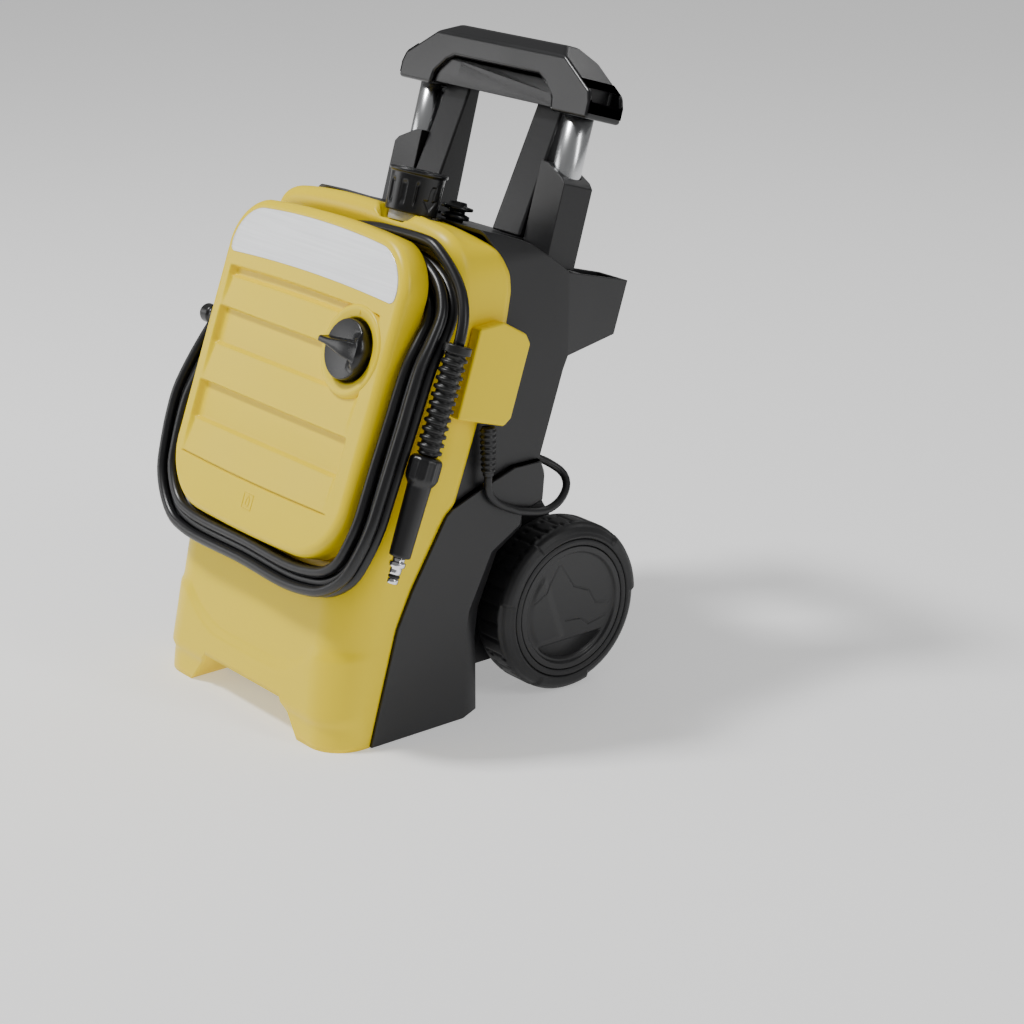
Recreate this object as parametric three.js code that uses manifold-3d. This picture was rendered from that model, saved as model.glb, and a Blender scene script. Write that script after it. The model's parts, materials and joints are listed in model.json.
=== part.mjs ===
// Compact upright pressure washer: moulded body, hose store behind the front cover, telescopic handle,
// two wheels, motor and axial piston pump inside. Millimetres, front towards -Y, +Z up, floor at Z = 0.
import * as THREE from 'three';
import { mergeVertices } from 'three/addons/utils/BufferGeometryUtils.js';
import Module from 'manifold-3d';

const wasm = await Module();
wasm.setup();

// ---- overall sizes ----
const HEIGHT = 584;
const WHEEL_SPREAD = 312;
const BODY_HALF = 143;
const BASE_STEP = 3;
const COLUMN_STEP = 4;
const BASE_HALF = BODY_HALF + BASE_STEP;
const COLUMN_HALF = BODY_HALF - COLUMN_STEP;
const WALL = 3.2;
const GAP = 0.4;

// ---- leaning planes ----
const COVER_TILT = THREE.MathUtils.degToRad(20.4);
const COVER_FOOT = new THREE.Vector3(0, -159.6, 200);
const HANDLE_TILT = THREE.MathUtils.degToRad(16.7);
const HANDLE_TOP = new THREE.Vector3(0, 140, 540);

// ---- handle ----
const TUBE_X = 106;
const TUBE_R = 13.5;
const TUBE_BORE_R = 11.5;
const TUBE_CLEARANCE = 0.5;
const TUBE_DROP = 360;
const TUBE_TOP = 6;
const GUIDE_LIP = 1.5;
const GUIDE_H = 12;
const SLEEVE_WALL = 3.5;
const SLEEVE_TOP = -64;
const SLEEVE_SLANT = 12;
const SLEEVE_DROP = 150;
const GRIP_HALF_TOP = 80;
const GRIP_HALF = 138;
const GRIP_DEPTH = 42;
const GRIP_WALL = 4;
const SOCKET_WALL = 2.5;
const GRIP_BAND = 30;

// ---- carrying frame ----
const ARM_INNER = 50;
const ARM_CLEARANCE = 0.5;
const ARM_TAPER = 4;
const SLEEVE_INNER = TUBE_X - TUBE_R - TUBE_CLEARANCE - SLEEVE_WALL;
const ARM_OUTER_FOOT = SLEEVE_INNER - ARM_CLEARANCE;
const ARM_OUTER_TOP = ARM_OUTER_FOOT - ARM_TAPER;
const CROSSBAR_R = 12;
const CROSSBAR_Y = 139;
const CROSSBAR_Z = 547;

// ---- wheels ----
const WHEEL_R = 80.9;
const WHEEL_Y = 90.5;
const WHEEL_W = 48;
const WHEEL_ARCH_GAP = 13;
const RIM_R = 66;
const AXLE_R = 6;
const HUB_BORE_CLEARANCE = 0.25;
const HUB_R = 14;
const CLIP_R = 11;
const CLIP_W = 4;

// ---- front cover and hose store ----
const COVER_HALF = 136;
const COVER_LOW = -31;
const COVER_HIGH = 266;
const COVER_RADIUS = 46;
const COVER_DEPTH = 27;
const COVER_WALL = 4;
const SPOOL_HALF = 96;
const SPOOL_LOW = 20;
const SPOOL_HIGH = 206;
const SPOOL_RADIUS = 40;
const SPOOL_BACK = 66;
const BADGE_T = 1.2;
const BADGE_LOW = 211;
const BADGE_INSET = 9;
const RIDGE_STEP = 71;
const RIDGE_H = 35;
const RIDGE_LOW = 15;
const RIDGE_HALF = 116;
const FIELD_DEPTH = 4;

// ---- switch ----
const DIAL_X = 86;
const DIAL_S = 158;
const DIAL_BOSS_R = 40;
const KNOB_R = 27;
const KNOB_T = 9;
const KNOB_BAR = 17;
const KNOB_CLEARANCE = 1.4;
const SPINDLE_R = 4;

// ---- outlet and inlet ----
const OUTLET = new THREE.Vector3(46, -11, 440);
const COLLAR_R = 24.5;
const COLLAR_BORE_R = 19.6;
const COLLAR_CLEARANCE = 0.6;
const COLLAR_H = 47;
const COLLAR_LIFT = 8;
const COLLAR_TRAVEL = 6;
const SOCKET_R = 14;
const SOCKET_FLANGE_R = COLLAR_BORE_R - COLLAR_CLEARANCE;
const SOCKET_STEM_R = 8;
const SOCKET_BORE_R = 6;
const OUTLET_SEAT_R = COLLAR_R + 2.5;
const INLET = new THREE.Vector3(53, 36, 440);
const INLET_R = 15;

// ---- motor and pump, on an axis that leans with the body ----
const PUMP_FOOT = new THREE.Vector3(0, -66, 56);
const PUMP_TILT = THREE.MathUtils.degToRad(14);
const MOTOR_R = 58;
const MOTOR_H = 118;
const MOTOR_WALL = 3;
const ROTOR_R = 34;
const SHAFT_R = 6;
const FAN_R = 50;
const CASE_R = 50;
const CASE_H = 48;
const PISTONS = 3;
const PISTON_R = 6;
const PISTON_PITCH_R = 24;
const BLOCK_R = 38;
const BLOCK_H = 50;
const HEAD_R = 36;
const HEAD_H = 34;

// ---- cords ----
const HOSE_R = 5;
const CABLE_R = 3.75;
const BUNDLE_W = 26;
const BUNDLE_T = 21;

// ---- colours ----
const YELLOW = 0xf5d312;
const BLACK = 0x232324;
const CHARCOAL = 0x3a3a3b;
const SILVER = 0xc4c6c8;
const STEEL = 0x9a9ca0;
const BRASS = 0xb0903f;

const washer = new THREE.Group();

function finish(color, roughness, metalness) {
  return new THREE.MeshStandardMaterial({ color, roughness, metalness });
}

// Adds one named sub-part to a parent frame.
function place(name, geometry, color, parent = washer, roughness = 0.45, metalness = 0) {
  const mesh = new THREE.Mesh(geometry, finish(color, roughness, metalness));
  mesh.name = name;
  parent.add(mesh);
  return mesh;
}

// A frame that leans back by tilt about X, with its origin at a point.
function leaning(origin, tilt) {
  const frame = new THREE.Group();
  frame.position.copy(origin);
  frame.rotation.x = -tilt;
  washer.add(frame);
  frame.updateMatrixWorld(true);
  return frame;
}

// ---- solids ----
function solid(geometry) {
  const bare = geometry.index ? geometry.toNonIndexed() : geometry.clone();
  bare.deleteAttribute('normal');
  bare.deleteAttribute('uv');
  const merged = mergeVertices(bare, 1e-4);
  const mesh = new wasm.Mesh({
    numProp: 3,
    vertProperties: new Float32Array(merged.attributes.position.array),
    triVerts: new Uint32Array(merged.index.array),
  });
  return new wasm.Manifold(mesh);
}

function surface(body) {
  const mesh = body.getMesh();
  const geometry = new THREE.BufferGeometry();
  geometry.setAttribute('position', new THREE.BufferAttribute(new Float32Array(mesh.vertProperties), 3));
  geometry.setIndex(new THREE.BufferAttribute(new Uint32Array(mesh.triVerts), 1));
  geometry.computeVertexNormals();
  return geometry;
}

function join(...parts) {
  return surface(parts.map(solid).reduce((a, b) => a.add(b)));
}

function cut(base, ...tools) {
  return surface(tools.map(solid).reduce((a, b) => a.subtract(b), solid(base)));
}

function common(first, ...rest) {
  return surface(rest.map(solid).reduce((a, b) => a.intersect(b), solid(first)));
}

// A box from its low and high corners.
function block(x0, y0, z0, x1, y1, z1) {
  const geometry = new THREE.BoxGeometry(x1 - x0, y1 - y0, z1 - z0);
  geometry.translate((x0 + x1) / 2, (y0 + y1) / 2, (z0 + z1) / 2);
  return geometry;
}

// A rod along Z, X or Y, from its low end.
function rod(radius, length, sides = 20) {
  const geometry = new THREE.CylinderGeometry(radius, radius, length, sides);
  geometry.rotateX(Math.PI / 2);
  geometry.translate(0, 0, length / 2);
  return geometry;
}

function rodX(radius, x0, x1, y, z, sides = 24) {
  const geometry = rod(radius, x1 - x0, sides);
  geometry.rotateY(Math.PI / 2);
  geometry.translate(x0, y, z);
  return geometry;
}

function rodY(radius, y0, y1, x, z, sides = 24) {
  const geometry = rod(radius, y1 - y0, sides);
  geometry.rotateX(-Math.PI / 2);
  geometry.translate(x, y0, z);
  return geometry;
}

// A turned piece about Z from [radius, height] pairs that start and end on the axis or close up.
function turned(pairs, sides = 20) {
  const geometry = new THREE.LatheGeometry(pairs.map(([r, z]) => new THREE.Vector2(r, z)), sides);
  geometry.rotateX(Math.PI / 2);
  return geometry;
}

// A ring about Z with a square section.
function ring(inner, outer, z0, z1, sides = 20) {
  return turned([[inner, z0], [outer, z0], [outer, z1], [inner, z1], [inner, z0]], sides);
}

function shapeOf(points) {
  return new THREE.Shape(points.map(([a, b]) => new THREE.Vector2(a, b)));
}

// A side profile of [y, z] points carried across X.
function acrossX(points, x0, x1) {
  const geometry = new THREE.ExtrudeGeometry(shapeOf(points), { depth: x1 - x0, bevelEnabled: false });
  geometry.rotateY(Math.PI / 2);
  geometry.rotateX(Math.PI / 2);
  geometry.translate(x0, 0, 0);
  return geometry;
}

// A front outline of [x, z] points carried along Y.
function alongY(points, y0, y1) {
  const geometry = new THREE.ExtrudeGeometry(shapeOf(points), { depth: y1 - y0, bevelEnabled: false });
  geometry.rotateX(Math.PI / 2);
  geometry.translate(0, y1, 0);
  return geometry;
}

// Moves a closed outline inwards by t, corner by corner.
function inset(points, t) {
  const area = THREE.ShapeUtils.area(points.map(([a, b]) => new THREE.Vector2(a, b)));
  const side = Math.sign(area) * t;
  return points.map((point, i) => {
    const before = points[(i + points.length - 1) % points.length];
    const after = points[(i + 1) % points.length];
    const a = new THREE.Vector2(point[0] - before[0], point[1] - before[1]).normalize();
    const b = new THREE.Vector2(after[0] - point[0], after[1] - point[1]).normalize();
    const normal = new THREE.Vector2(-a.y - b.y, a.x + b.x).normalize();
    const reach = side / Math.max(0.4, normal.dot(new THREE.Vector2(-a.y, a.x)));
    return [point[0] + normal.x * reach, point[1] + normal.y * reach];
  });
}

// A rectangle with round corners, as points, centred between its limits.
function roundRect(x0, z0, x1, z1, radius, steps = 5) {
  const centres = [[x1 - radius, z0 + radius, -90], [x1 - radius, z1 - radius, 0],
    [x0 + radius, z1 - radius, 90], [x0 + radius, z0 + radius, 180]];
  return centres.flatMap(([cx, cz, start]) => Array.from({ length: steps + 1 }, (_, i) => {
    const angle = THREE.MathUtils.degToRad(start + (90 * i) / steps);
    return [cx + radius * Math.cos(angle), cz + radius * Math.sin(angle)];
  }));
}

// Skins a stack of outlines that all have the same number of points, and caps both ends.
function loft(outlines) {
  const count = outlines[0].length;
  const position = outlines.flat().flatMap((p) => [p.x, p.y, p.z]);
  const index = [];
  for (let row = 0; row + 1 < outlines.length; row += 1) {
    for (let i = 0; i < count; i += 1) {
      const a = row * count + i;
      const b = row * count + ((i + 1) % count);
      index.push(a, b, b + count, a, b + count, a + count);
    }
  }
  [0, outlines.length - 1].forEach((row, end) => {
    const flat = outlines[row].map((p) => new THREE.Vector2(p.x, p.y));
    THREE.ShapeUtils.triangulateShape(flat, []).forEach(([a, b, c]) => {
      const corner = [a, b, c].map((i) => row * count + i);
      index.push(...(end === 0 ? corner.reverse() : corner));
    });
  });
  const geometry = new THREE.BufferGeometry();
  geometry.setAttribute('position', new THREE.Float32BufferAttribute(position, 3));
  geometry.setIndex(index);
  return geometry;
}

// Straight-line look-up in a table of [key, value] pairs.
function along(table, key) {
  const last = table.length - 1;
  if (key <= table[0][0]) return table[0][1];
  if (key >= table[last][0]) return table[last][1];
  const i = table.findIndex(([k]) => k > key);
  const [k0, v0] = table[i - 1];
  const [k1, v1] = table[i];
  return v0 + ((v1 - v0) * (key - k0)) / (k1 - k0);
}

// ---- body form: front line, corner radius and the joint lines between the mouldings ----
const FRONT_LINE = [[0, -178.6], [25, -176], [62, -169.5], [105, -161], [140, -153], [176, -137], [215,
    -101],
  [240, -84], [300, -59], [361, -38], [398, -27], [430, -26], [438, -32], [448, -33], [455, -26]];
const CORNER_LINE = [[0, 34], [60, 40], [140, 44], [300, 46], [400, 46], [455, 40]];
const SEAM = [[-133.6, 0], [-102.3, 105.2], [-85.8, 137.7], [-47, 199.2], [-37, 206], [-10.6, 276],
  [22.4, 362.5], [27.7, 390], [26.7, 405.6], [17, 426], [10, 446]];
const TOP_Z = 455;
const TOP_FALL = 0.33;
const TOP_APEX = -24;
const BODY_LEVELS = [62, 105, 140, 176, 215, 240, 300, 361, 398, 430, 438, 448];
const CORNER_STEPS = 4;
const SLAB = 420;

// Outline of the body at one height: flat back at yBack, two round front corners.
function bodyOutline(z, half, skin, yBack) {
  const front = along(FRONT_LINE, z) + skin;
  const radius = along(CORNER_LINE, z) - skin;
  const reach = half - skin;
  const points = [new THREE.Vector3(reach, yBack, z)];
  for (let side = 1; side >= -1; side -= 2) {
    for (let i = 0; i <= CORNER_STEPS; i += 1) {
      const step = side > 0 ? i : CORNER_STEPS - i;
      const angle = (Math.PI / 2) * (step / CORNER_STEPS);
      const x = side * (reach - radius + radius * Math.cos(angle));
      points.push(new THREE.Vector3(x, front + radius - radius * Math.sin(angle), z));
    }
  }
  points.push(new THREE.Vector3(-reach, yBack, z));
  return points.reverse();
}

function bodyForm(half, skin, yBack, lowest, highest) {
  const levels = BODY_LEVELS.filter((z) => z > lowest && z < highest);
  return loft([lowest, ...levels, highest].map((z) => bodyOutline(z, half, skin, yBack)));
}

// Front view of the body: straight sides, round shoulders and a crowned top.
function shoulders(half, skin) {
  const reach = half - skin;
  const top = TOP_Z - skin;
  const crown = Array.from({ length: 9 }, (_, i) => {
    const t = 1 - i / 4;
    return [t * (reach - 30), top - 6 * t * t];
  });
  const turn = [[reach, top - 42], [reach - 3, top - 28], [reach - 12, top - 15]];
  const left = turn.map(([x, z]) => [-x, z]).reverse();
  return alongY([[-reach, -10], [reach, -10], ...turn, ...crown, ...left], -SLAB, SLAB);
}

const ARCH_FOOT = 88;
const ARCH_TOP = 62;
const ARCH_H = 33;
const FOOT_PLATE = 6;

function archTunnel(skin) {
  return alongY([[-ARCH_FOOT - skin, -1], [ARCH_FOOT + skin, -1], [ARCH_TOP + skin, ARCH_H + skin],
    [-ARCH_TOP - skin, ARCH_H + skin]], -SLAB, SLAB);
}

// A shell from its outer and inner forms, with a floor over the tunnel between the feet.
function footedShell(outer, inner) {
  const roof = common(outer, archTunnel(WALL));
  return cut(join(cut(outer, inner), roof), archTunnel(0));
}

// Everything behind the front moulding's back edge.
function behindSeam() {
  return acrossX([...SEAM.map(([y, z]) => [y - GAP / 2, z]), [10 - GAP / 2, SLAB + TOP_Z],
    [SLAB, SLAB + TOP_Z], [SLAB, -SLAB], [-133.6 - GAP / 2, -SLAB]], -SLAB, SLAB);
}

// Everything above the roof, which falls away behind its apex.
function aboveRoof(skin) {
  return acrossX([[TOP_APEX, TOP_Z - skin], [SLAB, TOP_Z - skin - TOP_FALL * (SLAB - TOP_APEX)], [SLAB,
      SLAB * 2],
    [TOP_APEX, SLAB * 2]], -SLAB, SLAB);
}

// Everything below the roof, with a gap left over it.
function belowRoof() {
  const low = TOP_Z + GAP - TOP_FALL * (SLAB - TOP_APEX);
  return acrossX([[TOP_APEX, TOP_Z + GAP], [TOP_APEX, -SLAB], [SLAB, -SLAB], [SLAB, low]], -SLAB, SLAB);
}

// Round seat for the outlet, with the wall that surrounds it when skin is given.
function outletSeat(skin) {
  return leaningRod(OUTLET_SEAT_R + skin, OUTLET, -skin, 60, 32);
}

// Yellow front moulding: a shell with two feet, open at the back where the black mouldings meet it.
function frontHousing() {
  const outer = cut(common(bodyForm(BODY_HALF, 0, 60, 0, TOP_Z), shoulders(BODY_HALF, 0)), aboveRoof(0),
      outletSeat(0));
  const inner = cut(common(bodyForm(BODY_HALF, WALL, 61, FOOT_PLATE, TOP_Z - WALL), shoulders(BODY_HALF,
      WALL)),
    aboveRoof(WALL), outletSeat(WALL));
  return cut(footedShell(outer, inner), behindSeam(), leaningRod(SOCKET_STEM_R + GAP, OUTLET, -20, 10));
}

// A rod that leans with the handle, around a point.
function leaningRod(radius, point, low, high, sides = 24) {
  const geometry = rod(radius, high - low, sides);
  geometry.translate(0, 0, low);
  geometry.rotateX(-HANDLE_TILT);
  geometry.translate(point.x, point.y, point.z);
  return geometry;
}

// ---- lower black moulding: cheeks beside the feet and a core between the wheels ----
const CHEEK = [[-133.6, 0], [-8, 0], [-8, 50], [-9, 72], [-5, 100], [17, 148], [45.6, 166.3], [45.6, 179],
  [70, 186], [72.3, 213.2], [64.2, 228.1], [30.5, 228.1], [-8.7, 215.6], [-40.1, 203.9], [-47, 199.2],
  [-85.8, 137.7], [-102.3, 105.2]];
const CHEEK_CHAMFER = 10;
const CHEEK_FACE = [[-133.6, 0], [-30, 0], [-30, 52], [-29, 76], [-23, 104], [3, 154], [36, 173],
  [36, 184], [62, 191], [64.2, 213.2], [60, 228.1], [30.5, 228.1], [-8.7, 215.6], [-40.1, 203.9],
  [-47, 199.2], [-85.8, 137.7], [-102.3, 105.2]];
const CORE = [[-60, 25], [112, 25], [129, 45], [129, 120], [100, 170], [72.3, 213.2], [64.2, 228.1],
  [30.5, 228.1], [-8.7, 215.6], [-30, 190]];
const CORE_HALF = 99;
const AXLE_BOSS_R = 14;

// The cheeks' side profile carried across X; its rear edge draws in towards the outer faces.
function cheeks(skin, half) {
  const wide = inset(CHEEK, skin);
  const drawn = inset(CHEEK_FACE, skin);
  const stack = [[drawn, -half], [wide, CHEEK_CHAMFER - half], [wide, half - CHEEK_CHAMFER], [drawn, half]];
  const geometry = loft(stack.map(([points, x]) => points.map(([y, z]) => new THREE.Vector3(y, z, x))));
  geometry.rotateY(Math.PI / 2);
  geometry.rotateX(Math.PI / 2);
  return geometry;
}

// Room for both wheels beside the core; with skin it takes in the wall of the arches too.
function wheelRoom(skin) {
  const radius = WHEEL_R + WHEEL_ARCH_GAP + skin;
  return [rodX(radius, CORE_HALF - skin, SLAB, WHEEL_Y, WHEEL_R, 48),
    rodX(radius, -SLAB, skin - CORE_HALF, WHEEL_Y, WHEEL_R, 48)];
}

function baseHousing() {
  const outer = cut(join(cheeks(GAP / 2, BASE_HALF), acrossX(inset(CORE, GAP / 2), -CORE_HALF, CORE_HALF)),
    ...wheelRoom(0));
  const inner = cut(join(cheeks(WALL, BASE_HALF - WALL), acrossX(inset(CORE, WALL), -CORE_HALF + WALL,
    CORE_HALF - WALL)), ...wheelRoom(WALL));
  const top = acrossX([[-36, 180], [61, 192], [61, 240], [-36, 240]], -BASE_HALF + WALL, BASE_HALF - WALL);
  const front = acrossX([[-160, 8], [-120, 8], [-60, 150], [-20, 195], [-20, 260], [-160, 260]],
      -BASE_HALF + WALL, BASE_HALF - WALL);
  const bosses = [-1, 1].map((side) => rodX(AXLE_BOSS_R, side > 0 ? CORE_HALF - 12 : -CORE_HALF,
    side > 0 ? CORE_HALF : 12 - CORE_HALF, WHEEL_Y, WHEEL_R));
  const shell = join(footedShell(outer, inner), ...bosses);
  const axleHole = rodX(AXLE_R + GAP, -BASE_HALF - 1, BASE_HALF + 1, WHEEL_Y, WHEEL_R);
  return cut(shell, top, front, axleHole, tubeBore(1), tubeBore(-1));
}

const REAR_END = 178.6;
const BEAK_DRAW = 13;
const BEAK_HALF = COLUMN_HALF - BEAK_DRAW;

// ---- upper black moulding: two columns with the tube sleeves and the lance pockets ----
const COLUMN = [[-40.1, 203.9], [-8.7, 215.6], [30.5, 228.1], [64.2, 228.1], [91.7, 307], [97, 318], [160,
    325],
  [REAR_END + GAP / 2, 372.6], [99, 395], [91, 402], [58, 426], [33, 439], [10, 446], [17, 426], [26.7,
      405.6], [27.7, 390],
  [22.4, 362.5], [-10.6, 276], [-37, 206]];
const DECK = [[8, 314], [60, 390], [118, 396], [121, 408], [116, 422], [53, 430], [10, 446], [17, 426],
  [26.7, 405.6], [27.7, 390], [22.4, 362.5]];
const RECESS_HALF = 86;
const RECESS = [[21, 232], [75, 386], [260, 386], [260, 150], [21, 150]];
const POCKET = [[104, 331], [157, 331], [171, 374], [171, 430], [126, 430]];
const POCKET_IN = 92;

function sleeve(side) {
  const reach = TUBE_R + TUBE_CLEARANCE + SLEEVE_WALL;
  const inner = SLEEVE_INNER;
  const outer = TUBE_X + reach + 3;
  const right = [[inner, -SLEEVE_DROP], [outer, -SLEEVE_DROP], [outer, SLEEVE_TOP - SLEEVE_SLANT],
    [outer - 5, SLEEVE_TOP - SLEEVE_SLANT + 5], [inner + 10, SLEEVE_TOP + 3], [inner, SLEEVE_TOP + 4]];
  const outline = side > 0 ? right : right.map(([x, z]) => [-x, z]).reverse();
  const geometry = alongY(outline, -reach, reach - 0.5);
  geometry.rotateX(-HANDLE_TILT);
  geometry.translate(HANDLE_TOP.x, HANDLE_TOP.y, HANDLE_TOP.z);
  return geometry;
}

// Way for a handle tube: a close bore in the sleeve, and room for the guide shoe below it.
function tubeBore(side) {
  const shoeR = TUBE_R + GUIDE_LIP + GAP;
  const boreR = TUBE_R + TUBE_CLEARANCE;
  const low = -TUBE_DROP - 20;
  const geometry = turned([[0, low], [shoeR, low], [shoeR, GAP - SLEEVE_DROP], [boreR, GAP - SLEEVE_DROP],
      [boreR, 30],
    [0, 30]], 24);
  geometry.translate(side * TUBE_X, 0, 0);
  geometry.rotateX(-HANDLE_TILT);
  geometry.translate(HANDLE_TOP.x, HANDLE_TOP.y, HANDLE_TOP.z);
  return geometry;
}

// Plan of the columns: straight flanks that draw in towards the rear of the pockets.
function columnPlan(skin) {
  const geometry = new THREE.ExtrudeGeometry(shapeOf([[skin - COLUMN_HALF, -SLAB], [COLUMN_HALF - skin,
      -SLAB],
    [COLUMN_HALF - skin, 96], [BEAK_HALF - skin, REAR_END], [skin - BEAK_HALF, REAR_END],
        [skin - COLUMN_HALF, 96]]),
  { depth: SLAB * 2, bevelEnabled: false });
  return geometry;
}

function rearHousing() {
  const form = common(join(acrossX(inset(COLUMN, GAP / 2), -COLUMN_HALF, COLUMN_HALF),
    acrossX(inset(DECK, GAP / 2), -RECESS_HALF - 4, RECESS_HALF + 4)), shoulders(BODY_HALF, 0),
        columnPlan(0));
  const outer = cut(form, acrossX(RECESS, -RECESS_HALF, RECESS_HALF));
  const hollow = acrossX(inset([[-52, 196], [-8.7, 212], [30.5, 224], [64.2, 224], [91.7, 307], [95, 330],
      [92, 385],
    [58, 423], [33, 436], [-10, 449], [-14, 426], [-10, 390], [0, 362], [-30, 276], [-58, 206]], WALL),
  -COLUMN_HALF + WALL, COLUMN_HALF - WALL);
  const keep = acrossX(inset(RECESS, -WALL), -RECESS_HALF - WALL, RECESS_HALF + WALL);
  const floor = acrossX([[-30, 190], [54, 190], [58, 240], [-20, 240]], -COLUMN_HALF + WALL,
      COLUMN_HALF - WALL);
  const inner = common(cut(join(hollow, floor), keep), shoulders(COLUMN_HALF, WALL));
  const pockets = [acrossX(POCKET, POCKET_IN, COLUMN_HALF - WALL), acrossX(POCKET, WALL - COLUMN_HALF,
      -POCKET_IN)]
    .map((space) => common(space, columnPlan(WALL)));
  const shell = cut(common(cut(outer, cut(inner, outletSeat(WALL))), shoulders(COLUMN_HALF, 0)),
      aboveRoof(0), outletSeat(0));
  const sleeved = join(shell, sleeve(1), sleeve(-1));
  return cut(sleeved, ...pockets, tubeBore(1), tubeBore(-1), leaningRod(SOCKET_STEM_R + GAP, OUTLET, -20,
      10),
    leaningRod(8 + GAP, INLET, -40, 20));
}

place('front_housing', frontHousing(), YELLOW, washer, 0.35);
place('base_housing', baseHousing(), BLACK, washer, 0.5);
place('rear_housing', rearHousing(), BLACK, washer, 0.5);

// ---- fixed carrying frame: two arms that lean into a round crossbar ----
const ARM_SIDE = [[75.7, 412], [146, 556], [155, 556], [111.5, 402]];

function carryFrame() {
  const side = acrossX(inset(ARM_SIDE, GAP), -SLAB, SLAB);
  const outline = alongY([[-ARM_OUTER_FOOT, 400], [ARM_OUTER_FOOT, 400], [ARM_OUTER_TOP, 570],
      [-ARM_OUTER_TOP, 570]],
    -SLAB, SLAB);
  const opening = alongY([[-ARM_INNER + 2, 390], [ARM_INNER - 2, 390], [ARM_INNER, 580], [-ARM_INNER,
      580]], -SLAB, SLAB);
  const bar = rodX(CROSSBAR_R, -ARM_INNER - 1, ARM_INNER + 1, CROSSBAR_Y + 4, CROSSBAR_Z);
  return join(cut(common(side, outline), opening, belowRoof()), bar);
}

place('carry_frame', carryFrame(), BLACK, washer, 0.45);

// ---- telescopic handle ----
const handle = leaning(HANDLE_TOP, HANDLE_TILT);
const GRIP_EDGE = 8;
const GRIP_TOP = (HEIGHT - HANDLE_TOP.z - GRIP_EDGE * Math.sin(HANDLE_TILT)) / Math.cos(HANDLE_TILT);
const GRIP_LOW = -16;
const GRIP_RIGHT = [[GRIP_HALF, GRIP_LOW], [GRIP_HALF, -1], [GRIP_HALF - 4, 9], [GRIP_HALF_TOP + 12,
  GRIP_TOP - 9], [GRIP_HALF_TOP - 3, GRIP_TOP]];
const GRIP_OUTLINE = [...GRIP_RIGHT, ...GRIP_RIGHT.map(([x, z]) => [-x, z]).reverse()];

function gripBar() {
  const y = GRIP_DEPTH / 2;
  const section = acrossX([[-y, GRIP_LOW - 1], [y, GRIP_LOW - 1], [y, GRIP_TOP - 10], [GRIP_EDGE, GRIP_TOP],
    [-GRIP_EDGE, GRIP_TOP], [-y, GRIP_TOP - 10]], -SLAB, SLAB);
  const half = TUBE_X - TUBE_R - SOCKET_WALL;
  const arch = GRIP_TOP - GRIP_BAND;
  const opening = alongY([[1 - half, GRIP_LOW - 1], [half - 1, GRIP_LOW - 1], [half - 4, -4],
    [half - 18, arch - 5], [half - 28, arch], [28 - half, arch], [18 - half, arch - 5], [4 - half, -4]],
  -y - 1, y + 1);
  const roof = GRIP_TOP - 2 * GRIP_WALL;
  const channel = alongY([[-half, GRIP_LOW - 1], [half, GRIP_LOW - 1], [half, 14], [half - 17, roof],
    [17 - half, roof], [-half, 14]], GRIP_WALL - y, y - GRIP_WALL);
  const end = TUBE_X + TUBE_R + SOCKET_WALL;
  const ends = [-1, 1].map((side) => block(side > 0 ? end : -GRIP_HALF - 1, GRIP_WALL - y,
      GRIP_LOW + 8,
    side > 0 ? GRIP_HALF + 1 : -end, y - GRIP_WALL, GRIP_TOP));
  const holes = [-1, 1].map((side) => {
    const hole = rod(TUBE_R + GAP / 2, TUBE_TOP - GRIP_LOW + 2);
    return hole.translate(side * TUBE_X, 0, GRIP_LOW - 1);
  });
  return cut(common(alongY(GRIP_OUTLINE, -y, y), section), opening, channel, ...ends, ...holes);
}

// Tube with its guide shoe, which stops it in the sleeve when it is drawn right out.

function handleTube() {
  return turned([[TUBE_BORE_R, -TUBE_DROP], [TUBE_R + GUIDE_LIP, -TUBE_DROP], [TUBE_R + GUIDE_LIP,
      GUIDE_H - TUBE_DROP],
    [TUBE_R, GUIDE_H - TUBE_DROP], [TUBE_R, TUBE_TOP], [TUBE_BORE_R, TUBE_TOP], [TUBE_BORE_R,
        -TUBE_DROP]], 24);
}

place('handle_grip', gripBar(), CHARCOAL, handle, 0.45);
[['left', -1], ['right', 1]].forEach(([name, side]) => {
  place(`handle_tube_${name}`, handleTube(), SILVER, handle, 0.28, 1).position.x = side * TUBE_X;
});

// ---- wheels on one steel axle ----
const WHEEL_X = WHEEL_SPREAD / 2 - WHEEL_W / 2;
const WHEEL_HALF = WHEEL_W / 2;
const HUB_OUT = 12;
const HUB_IN = -WHEEL_HALF;

function tyre() {
  return turned([[RIM_R + GAP, -WHEEL_HALF + 2], [WHEEL_R - 8, -WHEEL_HALF + 2], [WHEEL_R, -WHEEL_HALF + 9],
    [WHEEL_R, WHEEL_HALF - 9], [WHEEL_R - 7, WHEEL_HALF], [RIM_R + GAP, WHEEL_HALF], [RIM_R + GAP,
        -WHEEL_HALF + 2]], 32);
}

function wheelDisc() {
  const bore = AXLE_R + HUB_BORE_CLEARANCE;
  return turned([[bore, HUB_IN + 1], [HUB_R, HUB_IN + 1], [HUB_R, 4], [RIM_R - 6, 6], [RIM_R - 6,
      4 - WHEEL_HALF],
    [RIM_R, 4 - WHEEL_HALF], [RIM_R, WHEEL_HALF - 1], [RIM_R - 4, WHEEL_HALF - 1], [RIM_R - 6, HUB_OUT],
        [bore, HUB_OUT],
    [bore, HUB_IN + 1]], 24);
}

function wheelCover() {
  const rim = RIM_R - 7;
  return turned([[0, WHEEL_HALF - 3.5], [rim - 8, WHEEL_HALF - 5], [rim - 3, HUB_OUT + GAP], [rim,
      HUB_OUT + GAP],
    [rim, WHEEL_HALF - 4], [rim - 8, WHEEL_HALF - 1], [0, WHEEL_HALF]], 24);
}

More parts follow.
